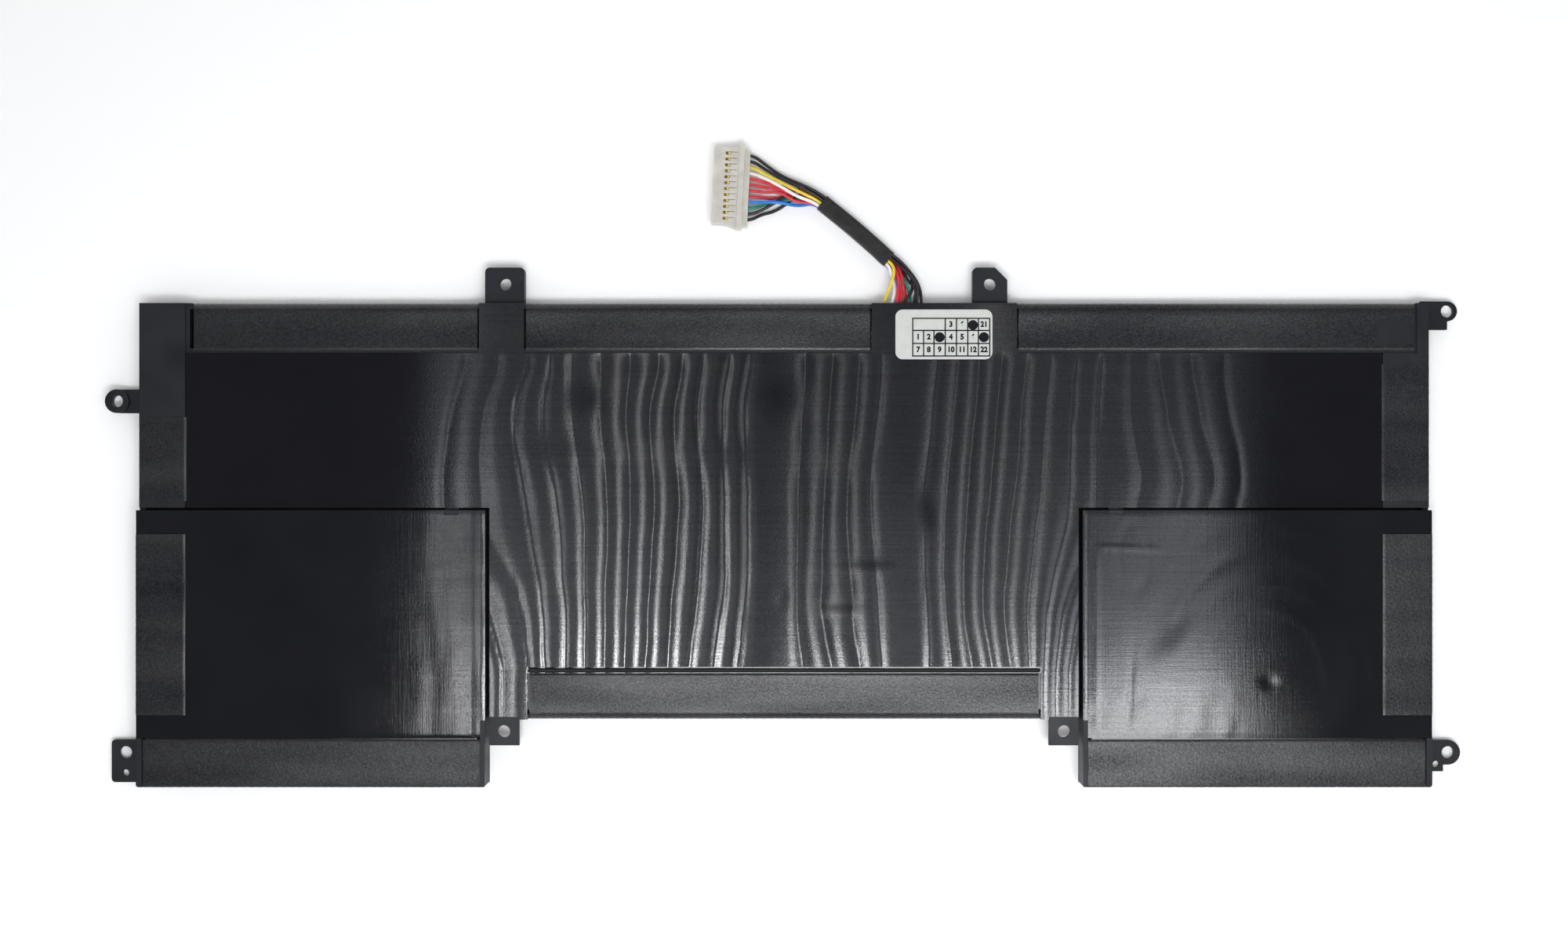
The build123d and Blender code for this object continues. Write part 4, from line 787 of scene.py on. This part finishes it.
# Plain numbers as (row, column, number)
numbers = [
    (0, 3, "3"), (0, 4, "6"), (0, 6, "21"),
    (1, 0, "1"), (1, 1, "2"), (1, 3, "4"), (1, 4, "5"), (1, 5, "6"),
    (2, 0, "7"), (2, 1, "8"), (2, 2, "9"), (2, 3, "10"), (2, 4, "11"), (2, 5, "12"), (2, 6, "22"),
]
for row, column, word in numbers:
    text = bpy.data.curves.new("number", "FONT")
    text.body = word
    text.size = 1.55 * MM
    text.offset = 0.085 * MM
    text.extrude = NUMBER_RAISE * MM
    text.align_x = "CENTER"
    text.align_y = "CENTER"
    holder = link(bpy.data.objects.new("number", text))
    bpy.context.view_layer.update()
    glyphs = bpy.data.meshes.new_from_object(holder.evaluated_get(bpy.context.evaluated_depsgraph_get()))
    middle_column = (column_lines[column] + column_lines[column + 1]) / 2
    middle_row = (row_lines[row] + row_lines[row + 1]) / 2
    cx, cy = label_point(middle_column, middle_row)
    for v in glyphs.vertices:
        v.co = Vector((v.co.x * 0.95 + cx * MM, v.co.y + cy * MM, v.co.z + (ink_low + NUMBER_RAISE) * MM))
    ink.from_mesh(glyphs)
    bpy.data.objects.remove(holder)
    bpy.data.meshes.remove(glyphs)
    bpy.data.curves.remove(text)
ink_mesh = bpy.data.meshes.new("label_print")
ink.to_mesh(ink_mesh)
ink.free()
ink_mesh.materials.append(ink_mat)
ink_obj = link(bpy.data.objects.new("label_print", ink_mesh))
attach(ink_obj, "root")


# Carried-over pieces
def dress(mat, *names, edge=0.0):
    """Gives pieces their material, and soft edges of one width in millimetres."""
    for name in names:
        obj = nodes[name]
        obj.data.materials.clear()
        obj.data.materials.append(mat)
        if edge:
            weld = obj.modifiers.new("weld", "WELD")
            weld.merge_threshold = 0.000002
            soft = obj.modifiers.new("soft_edges", "BEVEL")
            soft.width = edge * MM
            soft.segments = 2
            soft.limit_method = "ANGLE"
            soft.angle_limit = math.radians(50)
            soft.harden_normals = True


dress(frame_mat, "frame", edge=0.12)
dress(base_mat, "band_base", "left_leg_base", "right_leg_base")
dress(paper_mat, "date_label")
dress(wrap_mat, "left_upper_cell", "left_stem_cell", "left_leg_cell",
      "right_upper_cell", "right_stem_cell", "right_leg_cell")
dress(nickel_mat, "negative_tabs", "left_link_straps", "right_link_straps")
dress(alloy_mat, "positive_tabs")
dress(board_mat, "protection_board")
dress(chip_mat, "gauge_chip", "power_switches", "thermal_fuse", "small_components")
dress(shunt_mat, "current_shunt")
dress(sealant_mat, "joint_sealant")
dress(adhesive_mat, "cell_adhesive")
dress(sleeve_mat, "lead_sleeve")
dress(nylon_mat, "connector_housing", edge=0.08)
dress(gold_mat, "connector_contacts")


# Pale floor that keeps the shadow
def card(name, x, z, width, y0, y1, mat):
    """Flat rectangle, metres: the floor faces up, a light overhead faces down."""
    order = ((-width / 2, y0), (width / 2, y0), (width / 2, y1), (-width / 2, y1))
    mesh = bpy.data.meshes.new(name)
    mesh.from_pydata([(u, v, 0) for u, v in (order[::-1] if z else order)], [], [(0, 1, 2, 3)])
    mesh.materials.append(mat)
    obj = link(bpy.data.objects.new(name, mesh))
    obj.location = (x, 0, z)


floor_mat = bpy.data.materials.new("floor")
floor_mat.use_nodes = True
floor_shader = floor_mat.node_tree.nodes["Principled BSDF"]
floor_shader.inputs["Base Color"].default_value = (0.98, 0.98, 0.98, 1)
floor_shader.inputs["Roughness"].default_value = 0.9
floor_shader.inputs["Specular IOR Level"].default_value = 0.1
card("floor", 0.0, 0.0, 40.0, -20.0, 20.0, floor_mat)

# Room light: bright low down all round, dim overhead where the camera is
world = bpy.data.worlds.new("room")
world.use_nodes = True
tree = world.node_tree
place = tree.nodes.new("ShaderNodeTexCoord")
parts = tree.nodes.new("ShaderNodeSeparateXYZ")
tree.links.new(place.outputs["Generated"], parts.inputs[0])
room_stops = [(0.0, (1.0, 1.0, 1.0)), (0.55, (1.0, 1.0, 1.0)), (0.85, (0.10, 0.10, 0.10))]
background = tree.nodes["Background"]
tree.links.new(ramp(tree, parts.outputs["Z"], room_stops), background.inputs["Color"])
background.inputs["Strength"].default_value = 1.02
scene.world = world


# Soft strip lights over the pack, brighter towards the near side and faded at their long edges
GLOW_REACH = 0.1


def glow_material(name, strength, half_width, soft, stops, tint):
    """Light with stops along y from -GLOW_REACH to GLOW_REACH; soft is the faded share of its half width."""
    mat = bpy.data.materials.new(name)
    mat.use_nodes = True
    tree = mat.node_tree
    tree.nodes.clear()
    out = tree.nodes.new("ShaderNodeOutputMaterial")
    glow = tree.nodes.new("ShaderNodeEmission")
    place = tree.nodes.new("ShaderNodeTexCoord")
    parts = tree.nodes.new("ShaderNodeSeparateXYZ")
    tree.links.new(place.outputs["Object"], parts.inputs[0])
    along = tree.nodes.new("ShaderNodeMapRange")
    along.inputs["From Min"].default_value = -GLOW_REACH
    along.inputs["From Max"].default_value = GLOW_REACH
    tree.links.new(parts.outputs["Y"], along.inputs["Value"])
    colours = [(at, tuple(value * part for part in tint)) for at, value in stops]
    tree.links.new(ramp(tree, along.outputs["Result"], colours), glow.inputs["Color"])
    side = tree.nodes.new("ShaderNodeMath")
    side.operation = "ABSOLUTE"
    tree.links.new(parts.outputs["X"], side.inputs[0])
    fade = tree.nodes.new("ShaderNodeMapRange")
    fade.interpolation_type = "SMOOTHSTEP"
    fade.inputs["From Min"].default_value = (1 - soft) * half_width
    fade.inputs["From Max"].default_value = half_width
    fade.inputs["To Min"].default_value = strength
    fade.inputs["To Max"].default_value = 0.0
    tree.links.new(side.outputs[0], fade.inputs["Value"])
    tree.links.new(fade.outputs["Result"], glow.inputs["Strength"])
    tree.links.new(glow.outputs[0], out.inputs["Surface"])
    return mat


line_stops = ((0.0, 0.80), (0.10, 0.60), (0.20, 0.22), (0.38, 0.13), (0.56, 0.07), (0.80, 0.045))
dull_stops = ((0.0, 0.80), (0.08, 0.60), (0.18, 0.17), (0.38, 0.085), (0.56, 0.06), (0.80, 0.035))
band_stops = ((0.40, 1.0), (0.50, 0.55), (0.60, 0.35), (0.80, 0.20))
glow_stops = ((0.0, 0.72), (0.06, 0.38), (0.18, 0.125), (0.30, 0.095), (0.45, 0.085))
edge_stops = ((0.0, 0.70), (0.10, 0.62), (0.20, 0.42), (0.30, 0.24), (0.45, 0.13))
haze_stops = ((0.0, 0.86), (0.20, 0.80), (0.38, 0.60), (0.56, 0.39), (0.80, 0.31))
even_stops = ((0.0, 1.0), (1.0, 1.0))
COOL, PLAIN = (0.95, 0.98, 1.06), (0.99, 1.0, 1.01)
for name, x0, x1, z, soft, y0, y1, strength, stops, tint in (
    ("strip_a", -0.163, -0.137, 0.425, 0.5, -0.010, 0.100, 6.5, band_stops, COOL),
    ("strip_b", -0.078, -0.058, 0.425, 0.5, -0.140, 0.100, 72.0, line_stops, PLAIN),
    ("strip_c", 0.012, 0.026, 0.425, 0.5, -0.140, 0.100, 58.0, dull_stops, PLAIN),
    ("strip_d", 0.089, 0.103, 0.425, 0.5, -0.140, 0.100, 58.0, dull_stops, PLAIN),
    ("strip_e", 0.172, 0.198, 0.425, 0.5, -0.010, 0.100, 5.0, band_stops, COOL),
    ("left_glow", -0.157, -0.143, 0.426, 0.6, -0.140, -0.010, 27.0, edge_stops, PLAIN),
    ("right_glow", 0.131, 0.216, 0.426, 0.4, -0.140, -0.010, 22.5, glow_stops, COOL),
    ("finger_a", 0.147, 0.155, 0.418, 0.6, -0.120, -0.090, 19.0, even_stops, PLAIN),
    ("finger_b", 0.171, 0.181, 0.418, 0.6, -0.122, -0.084, 21.0, even_stops, PLAIN),
    ("finger_c", 0.186, 0.193, 0.418, 0.6, -0.120, -0.092, 18.0, even_stops, PLAIN),
    ("finger_d", 0.199, 0.207, 0.418, 0.6, -0.120, -0.082, 17.0, even_stops, PLAIN),
    ("haze_left", -0.166, -0.0135, 0.430, 0.05, -0.140, 0.100, 1.8, haze_stops, COOL),
    ("haze_gap", -0.0135, 0.0005, 0.430, 0.05, -0.140, 0.100, 1.0, haze_stops, COOL),
    ("haze_middle", 0.0005, 0.050, 0.430, 0.05, -0.140, 0.100, 1.8, haze_stops, COOL),
    ("haze_dip", 0.050, 0.061, 0.430, 0.05, -0.140, 0.100, 1.25, haze_stops, COOL),
    ("haze_right", 0.061, 0.200, 0.430, 0.05, -0.140, 0.100, 1.8, haze_stops, COOL),
    ("haze_end", 0.197, 0.215, 0.431, 0.05, -0.014, 0.100, 1.8, haze_stops, COOL),
    ("near_card", -0.130, 0.240, 0.420, 0.4, -0.215, -0.100, 10.5, even_stops, PLAIN),
):
    width = x1 - x0
    light = glow_material(name, strength, width / 2, soft, stops, tint)
    card(name, (x0 + x1) / 2, z, width, y0, y1, light)
